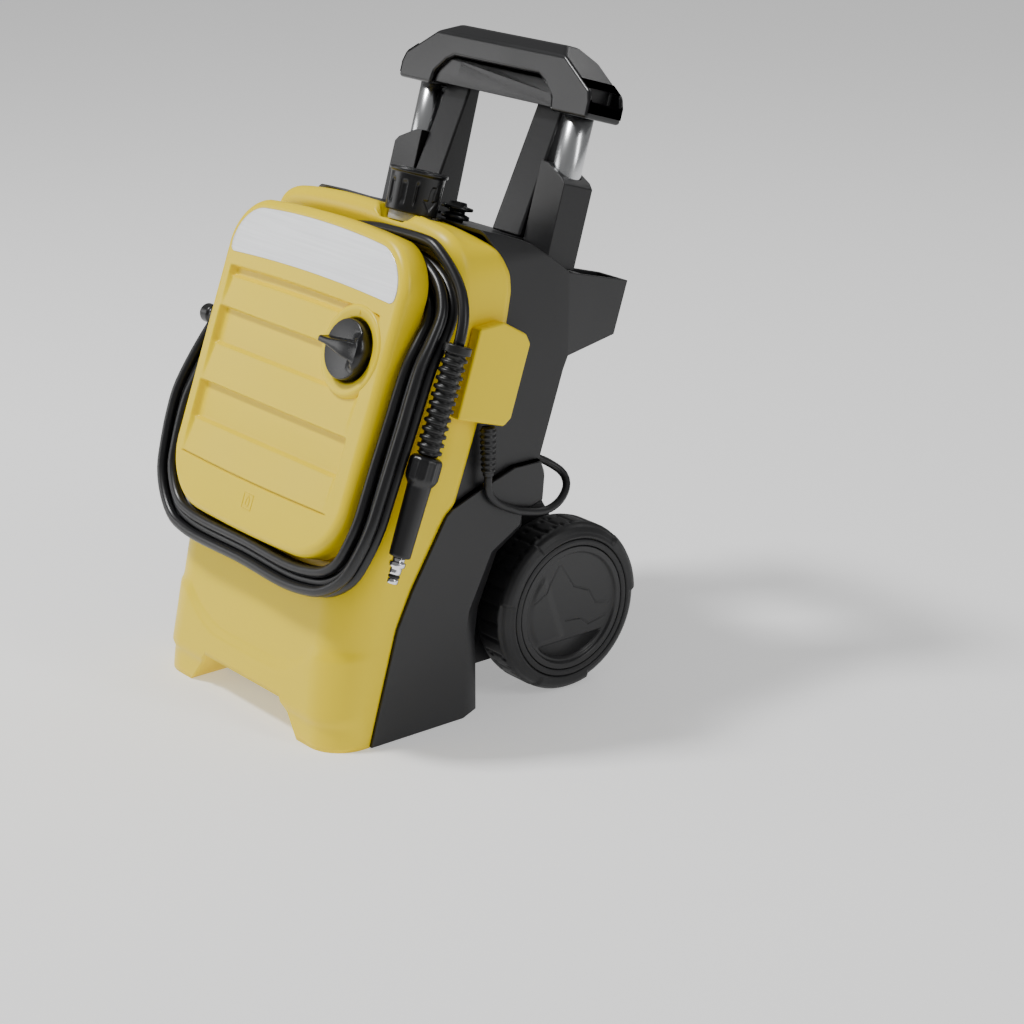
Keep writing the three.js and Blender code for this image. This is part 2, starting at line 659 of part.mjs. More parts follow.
function axleClip() {
  return ring(AXLE_R + 0.1, CLIP_R, HUB_OUT + 1, HUB_OUT + 1 + CLIP_W, 24);
}

[['left', -1], ['right', 1]].forEach(([name, side]) => {
  const frame = new THREE.Group();
  frame.position.set(side * WHEEL_X, WHEEL_Y, WHEEL_R);
  frame.rotation.y = (side * Math.PI) / 2;
  washer.add(frame);
  place(`tyre_${name}`, tyre(), BLACK, frame, 0.7);
  place(`wheel_disc_${name}`, wheelDisc(), BLACK, frame, 0.5);
  place(`wheel_cover_${name}`, wheelCover(), CHARCOAL, frame, 0.45);
  place(`axle_clip_${name}`, axleClip(), STEEL, frame, 0.3, 1);
});
const AXLE_END = WHEEL_X + HUB_OUT + CLIP_W + 2;
place('axle', rodX(AXLE_R, -AXLE_END, AXLE_END, WHEEL_Y, WHEEL_R), STEEL, washer, 0.3, 1);

// ---- front cover, its hose spool and the switch ----
const cover = leaning(COVER_FOOT, COVER_TILT);

// Cover outline in the leaning plane; the top is crowned. Closed by straight sides.
function coverOutline(skin) {
  const low = roundRect(-COVER_HALF + skin, COVER_LOW + skin, COVER_HALF - skin, COVER_HIGH - skin,
      COVER_RADIUS - skin);
  const middle = (COVER_LOW + COVER_HIGH) / 2;
  return low.map(([x, s]) => [x, s > middle ? s - 8 * (x / COVER_HALF) ** 2 : s]);
}

function frontCover() {
  const shell = cut(alongY(coverOutline(0), 0, COVER_DEPTH), alongY(coverOutline(COVER_WALL),
      COVER_WALL + 5, COVER_DEPTH + 1));
  const badge = alongY(badgeOutline(-GAP), -1, BADGE_T + GAP);
  const field = alongY([[-RIDGE_HALF, RIDGE_LOW], [RIDGE_HALF, RIDGE_LOW], [RIDGE_HALF, 196],
      [-RIDGE_HALF, 196]],
    -1, FIELD_DEPTH);
  const ridges = [0, 1, 2].map((i) => {
    const low = RIDGE_LOW + i * RIDGE_STEP;
    const ramp = acrossX([[0.5, low], [FIELD_DEPTH + 1, low], [FIELD_DEPTH + 1, low + RIDGE_H], [3,
        low + RIDGE_H]],
      -RIDGE_HALF - 1, RIDGE_HALF + 1);
    return ramp;
  });
  const boss = rodY(DIAL_BOSS_R, -2, KNOB_T + 4, DIAL_X, DIAL_S, 32);
  const well = rodY(KNOB_R + KNOB_CLEARANCE, -4, KNOB_T, DIAL_X, DIAL_S, 28);
  const spindleHole = rodY(SPINDLE_R + GAP, -4, 20, DIAL_X, DIAL_S, 14);
  return cut(join(cut(shell, badge, field), ...ridges, boss), well, spindleHole);
}

function badgeOutline(skin) {
  const edge = coverOutline(BADGE_INSET + skin).filter(([, s]) => s > BADGE_LOW + skin);
  const [first] = edge;
  const last = edge[edge.length - 1];
  return [[first[0], BADGE_LOW + skin], ...edge, [last[0], BADGE_LOW + skin]];
}

// Neck that the hose is wound round, shaped at the back to the front moulding.
function hoseSpool() {
  const neck = alongY(roundRect(-SPOOL_HALF, SPOOL_LOW, SPOOL_HALF, SPOOL_HIGH, SPOOL_RADIUS),
      COVER_DEPTH + GAP, SPOOL_BACK + 30);
  const bore = alongY(roundRect(-SPOOL_HALF + WALL, SPOOL_LOW + WALL, SPOOL_HALF - WALL, SPOOL_HIGH - WALL,
    SPOOL_RADIUS - WALL), COVER_DEPTH - 1, SPOOL_BACK + 40);
  const tubeShape = cut(neck, bore).applyMatrix4(cover.matrixWorld);
  return cut(tubeShape, bodyForm(BODY_HALF, -GAP, 100, 0, TOP_Z + 1));
}

function knob() {
  const dial = rodY(KNOB_R, -3, KNOB_T - GAP, DIAL_X, DIAL_S, 28);
  const bar = block(DIAL_X - KNOB_R, -KNOB_BAR, DIAL_S - 7, DIAL_X + KNOB_R, 0, DIAL_S + 7);
  const round = rodY(KNOB_R, -KNOB_BAR - 1, 1, DIAL_X, DIAL_S, 28);
  return join(dial, common(bar, round));
}

const SWITCH_D = 34;
place('front_cover', frontCover(), YELLOW, cover, 0.35);
place('hose_spool', hoseSpool(), YELLOW, washer, 0.4);
place('badge_plate', alongY(badgeOutline(0), 0, BADGE_T), SILVER, cover, 0.35, 1);
place('switch_knob', knob(), BLACK, cover, 0.35);
place('switch_spindle', rodY(SPINDLE_R, KNOB_T, SWITCH_D + 10, DIAL_X, DIAL_S, 20), BLACK, cover, 0.5);
place('switch_unit', cut(block(56, SWITCH_D, DIAL_S - 18, 91, SWITCH_D + 24, DIAL_S + 12),
  rodY(SPINDLE_R + GAP, SWITCH_D - 1, SWITCH_D + 12, DIAL_X, DIAL_S, 20)), CHARCOAL, cover, 0.5);

// ---- outlet with its sprung release collar, and the water inlet ----
const outlet = leaning(OUTLET, HANDLE_TILT);
place('outlet_socket', turned([[SOCKET_BORE_R, -10], [SOCKET_STEM_R, -10], [SOCKET_STEM_R, GAP],
    [SOCKET_FLANGE_R, GAP],
  [SOCKET_FLANGE_R, COLLAR_LIFT + 10], [SOCKET_R, COLLAR_LIFT + 11], [SOCKET_R, 30], [SOCKET_BORE_R, 30],
  [SOCKET_BORE_R, -10]]), STEEL, outlet, 0.35, 0.6);
const SPRING_SEAT = COLLAR_LIFT + 12;
place('outlet_collar', turned([[COLLAR_BORE_R, COLLAR_LIFT], [COLLAR_R - 1, COLLAR_LIFT], [COLLAR_R,
    COLLAR_H - 4],
  [COLLAR_R + 1.5, COLLAR_H - 2], [COLLAR_R + 1.5, COLLAR_H], [12, COLLAR_H], [12, COLLAR_H - 5],
  [COLLAR_BORE_R + 1, COLLAR_H - 6], [COLLAR_BORE_R, COLLAR_LIFT]]), BLACK, outlet, 0.4);
place('outlet_spring', ring(SOCKET_R + COLLAR_CLEARANCE, COLLAR_BORE_R - COLLAR_CLEARANCE, SPRING_SEAT,
    COLLAR_H - 7 - COLLAR_TRAVEL - 1),
  STEEL, outlet, 0.3, 1);

const inlet = leaning(INLET, HANDLE_TILT);
place('inlet_nipple', turned([[6, -30], [8, -30], [8, -3], [INLET_R - 2, -2], [INLET_R - 2, 1.5], [8, 3],
  [8, 5], [INLET_R, 6.5], [INLET_R, 9], [9, 10], [8, 13], [6, 13], [6, -30]], 16), BLACK, inlet, 0.4);
place('inlet_sieve', turned([[0, -9], [5.4, -9], [5.4, 9], [0, 11]], 12), STEEL, inlet, 0.5, 0.5);

// ---- cable box on the right flank, with the cable's strain relief ----
const BOX_SIDE = [[-41.9, 289.3], [9.5, 273.2], [17.7, 279], [39.7, 343.5], [35.1, 353.2], [10.4, 367.8],
    [-16, 366]];
const BOX_REACH = 13;
const BOX_OUT = BODY_HALF + BOX_REACH;
const GLAND_X = BODY_HALF + BOX_REACH - 6;
const GLAND_TOP_R = 6.2;
const GLAND_H = 45;
place('cable_box', acrossX(BOX_SIDE, BODY_HALF + GAP, BOX_OUT), YELLOW, washer, 0.35);

const gland = new THREE.Group();
gland.position.set(GLAND_X, -4, 229);
washer.add(gland);
place('cable_gland', turned([[0, 0], [CABLE_R + 1.6, 0], [GLAND_TOP_R, 12], [GLAND_TOP_R, GLAND_H], [0,
    GLAND_H]], 14), BLACK, gland, 0.6);

// ---- cable store behind: two hooks in the recess ----
const STORE_FOOT = new THREE.Vector3(0, 48.05, 308);
const RECESS_SLOPE = 0.3505;
const store = leaning(STORE_FOOT, Math.atan(RECESS_SLOPE));
const HOOK_REACH = 40;
const STORE_HALF_W = 62;
const STORE_HALF_H = 60;

function cableHook(side) {
  const stem = block(-26, GAP, 0, 26, HOOK_REACH, 7);
  const lip = block(-26, HOOK_REACH - 6, 0, 26, HOOK_REACH, 18);
  const hook = join(stem, lip);
  if (side < 0) hook.rotateY(Math.PI);
  return hook;
}

place('cable_hook_upper', cableHook(1), BLACK, store).position.z = STORE_HALF_H - 30;
place('cable_hook_lower', cableHook(-1), BLACK, store).position.z = 30 - STORE_HALF_H;

// ---- motor and axial piston pump ----
const pump = leaning(PUMP_FOOT, PUMP_TILT);
const CASE_TOP = MOTOR_H + CASE_H;
const BLOCK_TOP = CASE_TOP + BLOCK_H;
const BEARING_R = 16;
const BEARING_H = 10;
const SHAFT_TOP = MOTOR_H + 14;
const PLATE_H = 8;

function motorCan() {
  return turned([[BEARING_R + GAP, 0], [MOTOR_R, 0], [MOTOR_R, MOTOR_H], [BEARING_R + GAP, MOTOR_H],
    [BEARING_R + GAP, MOTOR_H - MOTOR_WALL], [MOTOR_R - MOTOR_WALL, MOTOR_H - MOTOR_WALL],
        [MOTOR_R - MOTOR_WALL, MOTOR_WALL],
    [BEARING_R + GAP, MOTOR_WALL], [BEARING_R + GAP, 0]], 24);
}

function bearing(z) {
  return ring(SHAFT_R + 0.1, BEARING_R, z, z + BEARING_H, 20);
}

function crankCase() {
  const z = MOTOR_H + GAP;
  return turned([[BEARING_R + 2, z], [CASE_R, z], [CASE_R, CASE_TOP], [BLOCK_R - 4, CASE_TOP],
      [BLOCK_R - 4, CASE_TOP - 3],
    [CASE_R - 4, CASE_TOP - 6], [CASE_R - 4, z + 4], [BEARING_R + 2, z + 4], [BEARING_R + 2, z]], 20);
}

function pistonPlace(i) {
  const angle = (2 * Math.PI * i) / PISTONS + Math.PI / 2;
  return [PISTON_PITCH_R * Math.cos(angle), PISTON_PITCH_R * Math.sin(angle)];
}

function pumpBlock() {
  const bores = Array.from({ length: PISTONS }, (_, i) => {
    const [x, y] = pistonPlace(i);
    const bore = rod(PISTON_R + 0.4, BLOCK_H + 2, 16);
    return bore.translate(x, y, CASE_TOP - 1);
  });
  return cut(rod(BLOCK_R, BLOCK_H - GAP, 24).translate(0, 0, CASE_TOP + GAP), ...bores);
}

function swashPlate() {
  const tilted = rod(PISTON_PITCH_R + 8, 40, 24).translate(0, 0, MOTOR_H + 14);
  const top = block(-60, -60, 0, 60, 60, 60);
  top.rotateX(THREE.MathUtils.degToRad(8));
  top.translate(0, 0, MOTOR_H + 14 + PLATE_H + 4);
  return cut(tilted, top, rod(SHAFT_R + 0.1, 60).translate(0, 0, MOTOR_H));
}

const PISTON_FOOT = MOTOR_H + 32;
const PISTON_STROKE = 6;

function piston() {
  return join(rod(PISTON_R, CASE_TOP + 24 - PISTON_FOOT, 16), rod(PISTON_R + 3, 3, 16).translate(0, 0,
      0.01));
}

function pumpHead() {
  const head = rod(HEAD_R, HEAD_H - GAP, 24).translate(0, 0, BLOCK_TOP + GAP);
  const port = rod(6.8, 20, 20).translate(16, 0, BLOCK_TOP + HEAD_H - 12);
  const feed = rod(5.8, 20, 20).translate(-18, 6, BLOCK_TOP + HEAD_H - 12);
  return cut(head, port, feed);
}

place('motor_can', motorCan(), STEEL, pump, 0.4, 1);
place('bearing_lower', bearing(0), STEEL, pump, 0.3, 1);
place('bearing_upper', bearing(MOTOR_H - BEARING_H), STEEL, pump, 0.3, 1);
place('motor_shaft', rod(SHAFT_R, SHAFT_TOP + 12, 24).translate(0, 0, -4), STEEL, pump, 0.3, 1);
place('motor_rotor', turned([[SHAFT_R + 0.1, 14], [FAN_R, 14], [FAN_R, 24], [SHAFT_R + 6, 24],
    [SHAFT_R + 6, 34], [ROTOR_R, 34],
  [ROTOR_R, 88], [SHAFT_R + 0.1, 88], [SHAFT_R + 0.1, 14]], 20), BRASS, pump, 0.4, 1);
place('motor_stator', ring(ROTOR_R + 1.5, MOTOR_R - MOTOR_WALL - GAP, 30, 92, 24), BRASS, pump, 0.4, 1);
place('crank_case', crankCase(), SILVER, pump, 0.45, 1);
place('swash_plate', swashPlate(), STEEL, pump, 0.3, 1);
place('pump_block', pumpBlock(), SILVER, pump, 0.45, 1);
for (let i = 0; i < PISTONS; i += 1) {
  const [x, y] = pistonPlace(i);
  place(`piston_${i + 1}`, piston(), STEEL, pump, 0.25, 1).position.set(x, y, PISTON_FOOT);
  place(`piston_spring_${i + 1}`, ring(PISTON_R + 0.5, PISTON_R + 2.4, PISTON_FOOT + 3.6 + PISTON_STROKE,
      CASE_TOP - GAP, 16),
    STEEL, pump, 0.3, 1).position.set(x, y, 0);
}
place('pump_head', pumpHead(), SILVER, pump, 0.4, 1);
place('pressure_switch', rodX(9, HEAD_R + GAP, HEAD_R + 26, 0, BLOCK_TOP + 18), BLACK, pump, 0.5);
place('capacitor', rod(15, 60, 24).translate(-MOTOR_R - 17, 0, 40), CHARCOAL, pump, 0.4);

// A round tube along hand-chosen points.
function tube(points, radius, steps, sides) {
  const curve = new THREE.CatmullRomCurve3(points, false, 'centripetal');
  const circle = shapeOf(Array.from({ length: sides }, (_, i) => {
    const angle = (2 * Math.PI * i) / sides;
    return [radius * Math.cos(angle), radius * Math.sin(angle)];
  }));
  return new THREE.ExtrudeGeometry(circle, { steps, extrudePath: curve, bevelEnabled: false });
}

// Where a point of a leaning frame lies in the washer's own frame.
function spot(frame, x, y, z) {
  return new THREE.Vector3(x, y, z).applyMatrix4(frame.matrixWorld);
}

function pipeFrom(port, points, socket, drop) {
  const start = [spot(pump, ...port, BLOCK_TOP + HEAD_H - 11), spot(pump, ...port, BLOCK_TOP + HEAD_H + 6)];
  const middle = points.map((p) => new THREE.Vector3(...p));
  return [...start, ...middle, spot(socket, 0, 0, drop - 10), spot(socket, 0, 0, drop)];
}

place('outlet_pipe', tube(pipeFrom([16, 0], [[22, 8, 350], [38, 6, 390]], outlet, -10.6), 6, 12, 8),
    STEEL, washer, 0.3, 1);
place('inlet_pipe', tube(pipeFrom([-18, 6], [[-14, 18, 350], [14, 30, 380], [44, 26, 388]], inlet, -30.6),
    5, 14, 8),
  BLACK, washer, 0.6);

// ---- high-pressure hose: wound bundle, free end and its coupling, in the cover's leaning frame ----
const BUNDLE = [[0, 15, -46], [83, 15, -47], [134.5, 15.5, -32], [154, 16, 12], [155, 18, 60],
  [154, 21, 110], [154, 23, 160], [144, 38.5, 212], [108, 39, 240.5], [50, 38.5, 248], [0, 38.5, 249],
  [-50, 38.5, 248], [-104, 38.5, 239], [-134, 38.5, 212], [-147, 39, 165], [-154, 26, 112], [-157, 16, 66],
  [-155, 15, 28], [-148, 15, -8], [-120, 15, -38], [-80, 15, -46]];
const BUNDLE_STEPS = 44;
const BUNDLE_SIDES = 8;

// An oval section carried round a closed path; the section's broad way lies in the plane of the loop.
function windingRing(points, width, thickness, steps) {
  const path = new THREE.CatmullRomCurve3(points.map((p) => new THREE.Vector3(...p)), true, 'centripetal');
  const position = [];
  const index = [];
  for (let i = 0; i < steps; i += 1) {
    const centre = path.getPointAt(i / steps);
    const ahead = path.getTangentAt(i / steps);
    const broad = new THREE.Vector3(0, 1, 0).cross(ahead).normalize();
    const thin = ahead.clone().cross(broad).normalize();
    for (let j = 0; j < BUNDLE_SIDES; j += 1) {
      const angle = (2 * Math.PI * j) / BUNDLE_SIDES;
      const point = centre.clone().addScaledVector(broad, (width / 2) * Math.cos(angle))
        .addScaledVector(thin, (thickness / 2) * Math.sin(angle));
      position.push(point.x, point.y, point.z);
      const a = i * BUNDLE_SIDES + j;
      const b = i * BUNDLE_SIDES + ((j + 1) % BUNDLE_SIDES);
      const next = ((i + 1) % steps) * BUNDLE_SIDES - i * BUNDLE_SIDES;
      index.push(a, b, b + next, a, b + next, a + next);
    }
  }
  const geometry = new THREE.BufferGeometry();
  geometry.setAttribute('position', new THREE.Float32BufferAttribute(position, 3));
  geometry.setIndex(index);
  return geometry;
}

const TAIL = [[114, 32.5, 265.5], [134, 36, 255], [153, 40, 240], [167, 41, 223], [174.5, 40.5, 206],
    [176, 40, 198],
  [176, 40, 189.6]];
const LINE_X = 176;
const LINE_D = 40;
place('hose_winding', windingRing(BUNDLE, BUNDLE_W, BUNDLE_T, BUNDLE_STEPS), BLACK, cover, 0.5);
place('hose_tail', tube(TAIL.map((p) => new THREE.Vector3(...p)), HOSE_R, 9, 10), BLACK, cover, 0.5);

const line = new THREE.Group();
line.position.set(LINE_X, LINE_D, 0);
cover.add(line);
const RIBS = 6;
const RIB_PITCH = 15;
const protectorRibs = Array.from({ length: RIBS }, (_, i) => {
  const z = 92 + i * RIB_PITCH;
  return [[11.5, z], [11.5, z + 9], [10, z + 10], [10, z + 15]];
}).flat();
place('hose_bend_protector', turned([[0, 92], ...protectorRibs, [12, 183], [12, 189], [0, 189]], 12),
    BLACK, line, 0.6);
place('hose_sleeve', turned([[0, 2], [9.5, 2], [10.5, 66], [14, 70], [14.5, 80], [13, 91.6], [0, 91.6]],
    18), BLACK, line, 0.5);
place('hose_nipple', turned([[0, -22], [4.6, -22], [5.2, -20], [5.2, -16], [3.8, -15], [3.8, -12], [5.2,
    -11], [5.2, -6],
  [6.8, -5.5], [6.8, -2], [5.2, -1.6], [5.2, 1.6], [0, 1.6]], 14), SILVER, line, 0.15, 1);
place('hose_end_fitting', rodX(7.5, -160, -138, 0, 0, 20).translate(0, 15, 143), BLACK, cover, 0.5);

// ---- mains cable: strain relief, side loop, then wound on the hooks behind; the plug rests in the
// winding ----
const CABLE = [[150, -4, 228.6], [150, -3.6, 214], [150.2, 4, 203], [150.4, 17.4, 194.5], [150.6, 34,
    187.4],
  [150.4, 60, 182], [147.5, 80, 185.8], [140, 95, 195], [131, 98, 205], [123, 88, 214.8], [119, 76.5,
      221.5],
  [112, 70, 225.5], [98, 69.5, 229], [84, 71, 233]];
const STORE_D = 22;
place('mains_cable', tube(CABLE.map((p) => new THREE.Vector3(...p)), CABLE_R, 38, 6), BLACK, washer, 0.55);

function storePath() {
  return roundRect(-STORE_HALF_W, -STORE_HALF_H, STORE_HALF_W, STORE_HALF_H, 40, 5).map(([x, z]) => [x,
      STORE_D, z]);
}

place('cable_winding', windingRing(storePath(), 30, 26, 28), BLACK, store, 0.55);
const PLUG_FOOT = new THREE.Vector3(-19, STORE_D, 5);
const PIN_OFFSET = 9.5;
const plugBody = turned([[0, 0], [6.2, 0], [17.8, 17], [17.8, 34], [0, 34]]);
const plugPins = [-1, 1].map((side) => rod(2.4, 20, 12).translate(side * PIN_OFFSET, 0, 32));
const plug = place('mains_plug', join(plugBody, ...plugPins), BLACK, store, 0.5);
plug.position.copy(PLUG_FOOT);
plug.rotation.y = Math.PI / 2;

export default washer;
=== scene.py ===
# Compact upright pressure washer, put together piece by piece in the order of its assembly.
import json
import bpy
import bmesh
import numpy as np
from mathutils import Matrix, Vector


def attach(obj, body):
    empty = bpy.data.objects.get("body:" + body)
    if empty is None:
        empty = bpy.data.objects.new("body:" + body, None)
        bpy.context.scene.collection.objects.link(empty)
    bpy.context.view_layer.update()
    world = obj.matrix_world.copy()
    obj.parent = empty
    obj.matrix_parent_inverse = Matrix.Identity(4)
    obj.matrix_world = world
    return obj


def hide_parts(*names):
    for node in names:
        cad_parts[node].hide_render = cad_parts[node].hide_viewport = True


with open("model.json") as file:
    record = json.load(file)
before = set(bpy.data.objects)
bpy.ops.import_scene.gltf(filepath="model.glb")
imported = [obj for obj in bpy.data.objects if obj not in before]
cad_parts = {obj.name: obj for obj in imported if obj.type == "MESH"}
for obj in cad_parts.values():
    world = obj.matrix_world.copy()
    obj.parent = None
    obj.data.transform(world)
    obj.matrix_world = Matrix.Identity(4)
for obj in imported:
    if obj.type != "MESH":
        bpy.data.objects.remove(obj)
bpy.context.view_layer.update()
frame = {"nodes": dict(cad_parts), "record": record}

# ---- camera ----
# A long lens that looks down on the washer from its front right.
azimuth, elevation = np.radians(51.16), np.radians(19.71)
view = bpy.data.objects.new("camera", bpy.data.cameras.new("camera"))
view.data.lens = 88.52
view.data.sensor_width = 36
view.location = (1.8040, -1.3087, 0.9496)
back = Vector((np.sin(azimuth) * np.cos(elevation), -np.cos(azimuth) * np.cos(elevation), np.sin(elevation)))
view.rotation_euler = back.to_track_quat("Z", "Y").to_euler()
bpy.context.scene.collection.objects.link(view)
bpy.context.scene.camera = view


# ---- high-pressure hose ----
# Black rubber hose, 10 mm across and about 6 m long. It is wound five times round the spool behind the front
# cover; its free end comes down the right side into the bend protector, and its other end has a round fitting.
LEAN = np.radians(20.4)


def on_cover(x, d, s):
    """Cover coordinates in mm (across, into the washer, up the leaning face) turned about X, in metres."""
    x, d, s = np.broadcast_arrays(*(np.asarray(a, float) for a in (x, d, s)))
    y = -159.6 + d * np.cos(LEAN) + s * np.sin(LEAN)
    z = 200 - d * np.sin(LEAN) + s * np.cos(LEAN)
    return np.stack([x, y, z], -1) / 1000


def smooth_path(points, spacing, closed=False):
    """A Catmull-Rom curve through the given points, cut into equal steps near the spacing."""
    p = np.asarray(points, float)
    q = np.vstack([p[-1:], p, p[:2]]) if closed else np.vstack([2 * p[0] - p[1], p, 2 * p[-1] - p[-2]])
    t = np.linspace(0, 1, 24, endpoint=False)[None, :, None]
    a, b, c, d = q[:-3, None], q[1:-2, None], q[2:-1, None], q[3:, None]
    run = 0.5 * (2 * b + (c - a) * t + (2 * a - 5 * b + 4 * c - d) * t**2 + (3 * b - a - 3 * c + d) * t**3)
    run = np.vstack([run.reshape(-1, p.shape[1]), p[:1] if closed else p[-1:]])
    far = np.concatenate([[0], np.cumsum(np.linalg.norm(np.diff(run, axis=0), axis=1))])
    stops = np.linspace(0, far[-1], max(2, int(round(far[-1] / spacing)) + 1))
    even = np.stack([np.interp(stops, far, run[:, i]) for i in range(p.shape[1])], -1)
    return even[:-1] if closed else even


def ease(t):
    """0 below 0, 1 above 1, and a cubic with level ends between."""
    t = np.clip(t, 0, 1)
    return t * t * (3 - 2 * t)


def surface_piece(name, parts, body, material, replaces=(), solid=None, closed=True):
    """Joins grids of points (rows, columns, 3) into one mesh. Each part is (grid, wrap rows, wrap columns).
    Doubled vertices are merged, faces are turned outwards, and an open shell may get a wall with Solidify."""
    verts, faces, base = [], [], 0
    for grid, wrap_rows, wrap_columns in parts:
        rows, columns = grid.shape[:2]
        i, j = np.meshgrid(np.arange(rows if wrap_rows else rows - 1),
                           np.arange(columns if wrap_columns else columns - 1), indexing="ij")
        i, j = i.ravel(), j.ravel()
        i1, j1 = (i + 1) % rows, (j + 1) % columns
        faces.append(base + np.stack([i * columns + j, i * columns + j1, i1 * columns + j1, i1 * columns + j], -1))
        verts.append(grid.reshape(-1, 3))
        base += rows * columns
    mesh = bpy.data.meshes.new(name)
    mesh.from_pydata(np.concatenate(verts).tolist(), [], np.concatenate(faces).tolist())
    build = bmesh.new()
    build.from_mesh(mesh)
    bmesh.ops.remove_doubles(build, verts=build.verts, dist=2e-5)
    bmesh.ops.dissolve_degenerate(build, edges=build.edges, dist=1e-6)
    bmesh.ops.recalc_face_normals(build, faces=build.faces)
    if closed:
        if build.calc_volume(signed=True) < 0:
            bmesh.ops.reverse_faces(build, faces=build.faces)
    else:
        middle = sum((v.co for v in build.verts), Vector()) / len(build.verts)
        if sum(f.normal.dot(f.calc_center_median() - middle) * f.calc_area() for f in build.faces) < 0:
            bmesh.ops.reverse_faces(build, faces=build.faces)
    build.to_mesh(mesh)
    build.free()
    mesh.polygons.foreach_set("use_smooth", [True] * len(mesh.polygons))
    piece = bpy.data.objects.new(name, mesh)
    bpy.context.scene.collection.objects.link(piece)
    mesh.materials.append(material)
    if solid:
        wall = piece.modifiers.new("wall", "SOLIDIFY")
        wall.thickness = solid
        wall.offset = -1
    if replaces:
        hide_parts(*replaces)
    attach(piece, body)
    return piece


def carried(path, radii, sides=12, closed=False, upright=(0.0, 0.93728, -0.34857)):
    """A round section carried along a path: each ring stands square to the path's direction. The ends are
    closed to a point when the path is open. Radii is one number or one for each point."""
    ahead = np.roll(path, -1, 0) - np.roll(path, 1, 0)
    if not closed:
        ahead[0], ahead[-1] = path[1] - path[0], path[-1] - path[-2]
    ahead /= np.linalg.norm(ahead, axis=1)[:, None]
    side = np.cross(ahead, np.asarray(upright))
    side /= np.linalg.norm(side, axis=1)[:, None]
    up = np.cross(side, ahead)
    radii = np.broadcast_to(np.asarray(radii, float), len(path))[:, None, None]
    turn = np.linspace(0, 2 * np.pi, sides, endpoint=False)[None, :, None]
    rings = path[:, None] + radii * (np.cos(turn) * side[:, None] + np.sin(turn) * up[:, None])
    if not closed:
        rings = np.concatenate([np.repeat(path[:1, None], sides, 1), rings, np.repeat(path[-1:, None], sides, 1)])
    return rings


def grained(name, colour, roughness, grain=0.12, scale=900.0, metal=0.0, sheen_gap=0.08, streak=None, shine=0.5,
            drift=0.06):
    """Moulded or machined finish: a fine grain in the relief, and a slow drift in how glossy it is.
    Streak is the stretch of the grain along each axis, for brushed metal; drift is how much the tint varies."""
    made = bpy.data.materials.new(name)
    made.use_nodes = True
    nodes, links = made.node_tree.nodes, made.node_tree.links
    shader = nodes["Principled BSDF"]
    shader.inputs["Metallic"].default_value = metal
    shader.inputs["Specular IOR Level"].default_value = shine
    where = nodes.new("ShaderNodeTexCoord")
    place = nodes.new("ShaderNodeMapping")
    place.inputs["Scale"].default_value = streak or (1, 1, 1)
    links.new(where.outputs["Object"], place.inputs["Vector"])
    fine = nodes.new("ShaderNodeTexNoise")
    fine.inputs["Scale"].default_value = scale
    fine.inputs["Detail"].default_value = 3
    links.new(place.outputs["Vector"], fine.inputs["Vector"])
    relief = nodes.new("ShaderNodeBump")
    relief.inputs["Strength"].default_value = grain
    relief.inputs["Distance"].default_value = 0.0004
    links.new(fine.outputs["Fac"], relief.inputs["Height"])
    links.new(relief.outputs["Normal"], shader.inputs["Normal"])
    slow = nodes.new("ShaderNodeTexNoise")
    slow.inputs["Scale"].default_value = 14
    slow.inputs["Detail"].default_value = 5
    links.new(where.outputs["Object"], slow.inputs["Vector"])
    gloss = nodes.new("ShaderNodeMapRange")
    gloss.inputs["To Min"].default_value = roughness - sheen_gap
    gloss.inputs["To Max"].default_value = roughness + sheen_gap
    links.new(slow.outputs["Fac"], gloss.inputs["Value"])
    links.new(gloss.outputs["Result"], shader.inputs["Roughness"])
    tint = nodes.new("ShaderNodeValToRGB")
    tint.color_ramp.elements[0].position = 0.3
    tint.color_ramp.elements[1].position = 0.7
    tint.color_ramp.elements[0].color = (*[c * (1 - drift) for c in colour], 1)
    tint.color_ramp.elements[1].color = (*[min(1, c * (1 + drift)) for c in colour], 1)
    links.new((fine if streak else slow).outputs["Fac"], tint.inputs["Fac"])
    links.new(tint.outputs["Color"], shader.inputs["Base Color"])
    return made


hose_rubber = grained("hose_rubber", (0.007, 0.007, 0.008), 0.36, grain=0.10, scale=700)
HOSE_LOOP = [(-104, 38.5, 237), (-50, 38.5, 246), (0, 38.5, 247), (50, 38.5, 246), (108, 39, 239), (144, 38.5, 212),
             (154, 23, 160), (154, 21, 110), (155, 18, 60), (154, 16, 12), (134.5, 15.5, -32), (83, 15, -47),
             (0, 15, -46), (-80, 15, -46), (-120, 15, -38), (-148, 15, -8), (-155, 15, 28), (-157, 16, 66),
             (-154, 26, 112), (-147, 39, 165), (-134, 38.5, 212)]
HOSE_SLOTS = np.array([(-8.6, 5.4), (-8.6, -5.4), (0.0, 0.0), (8.6, -5.4), (8.6, 5.4)])
HOSE_TAIL = [(10, 33.5, 262), (60, 32.5, 266), (114, 32.5, 265.5), (134, 36, 255), (153, 40, 240), (167, 41, 223),
             (174.5, 40.5, 206), (176, 40, 198), (176, 40, 187)]
HOSE_SHIFT = 26


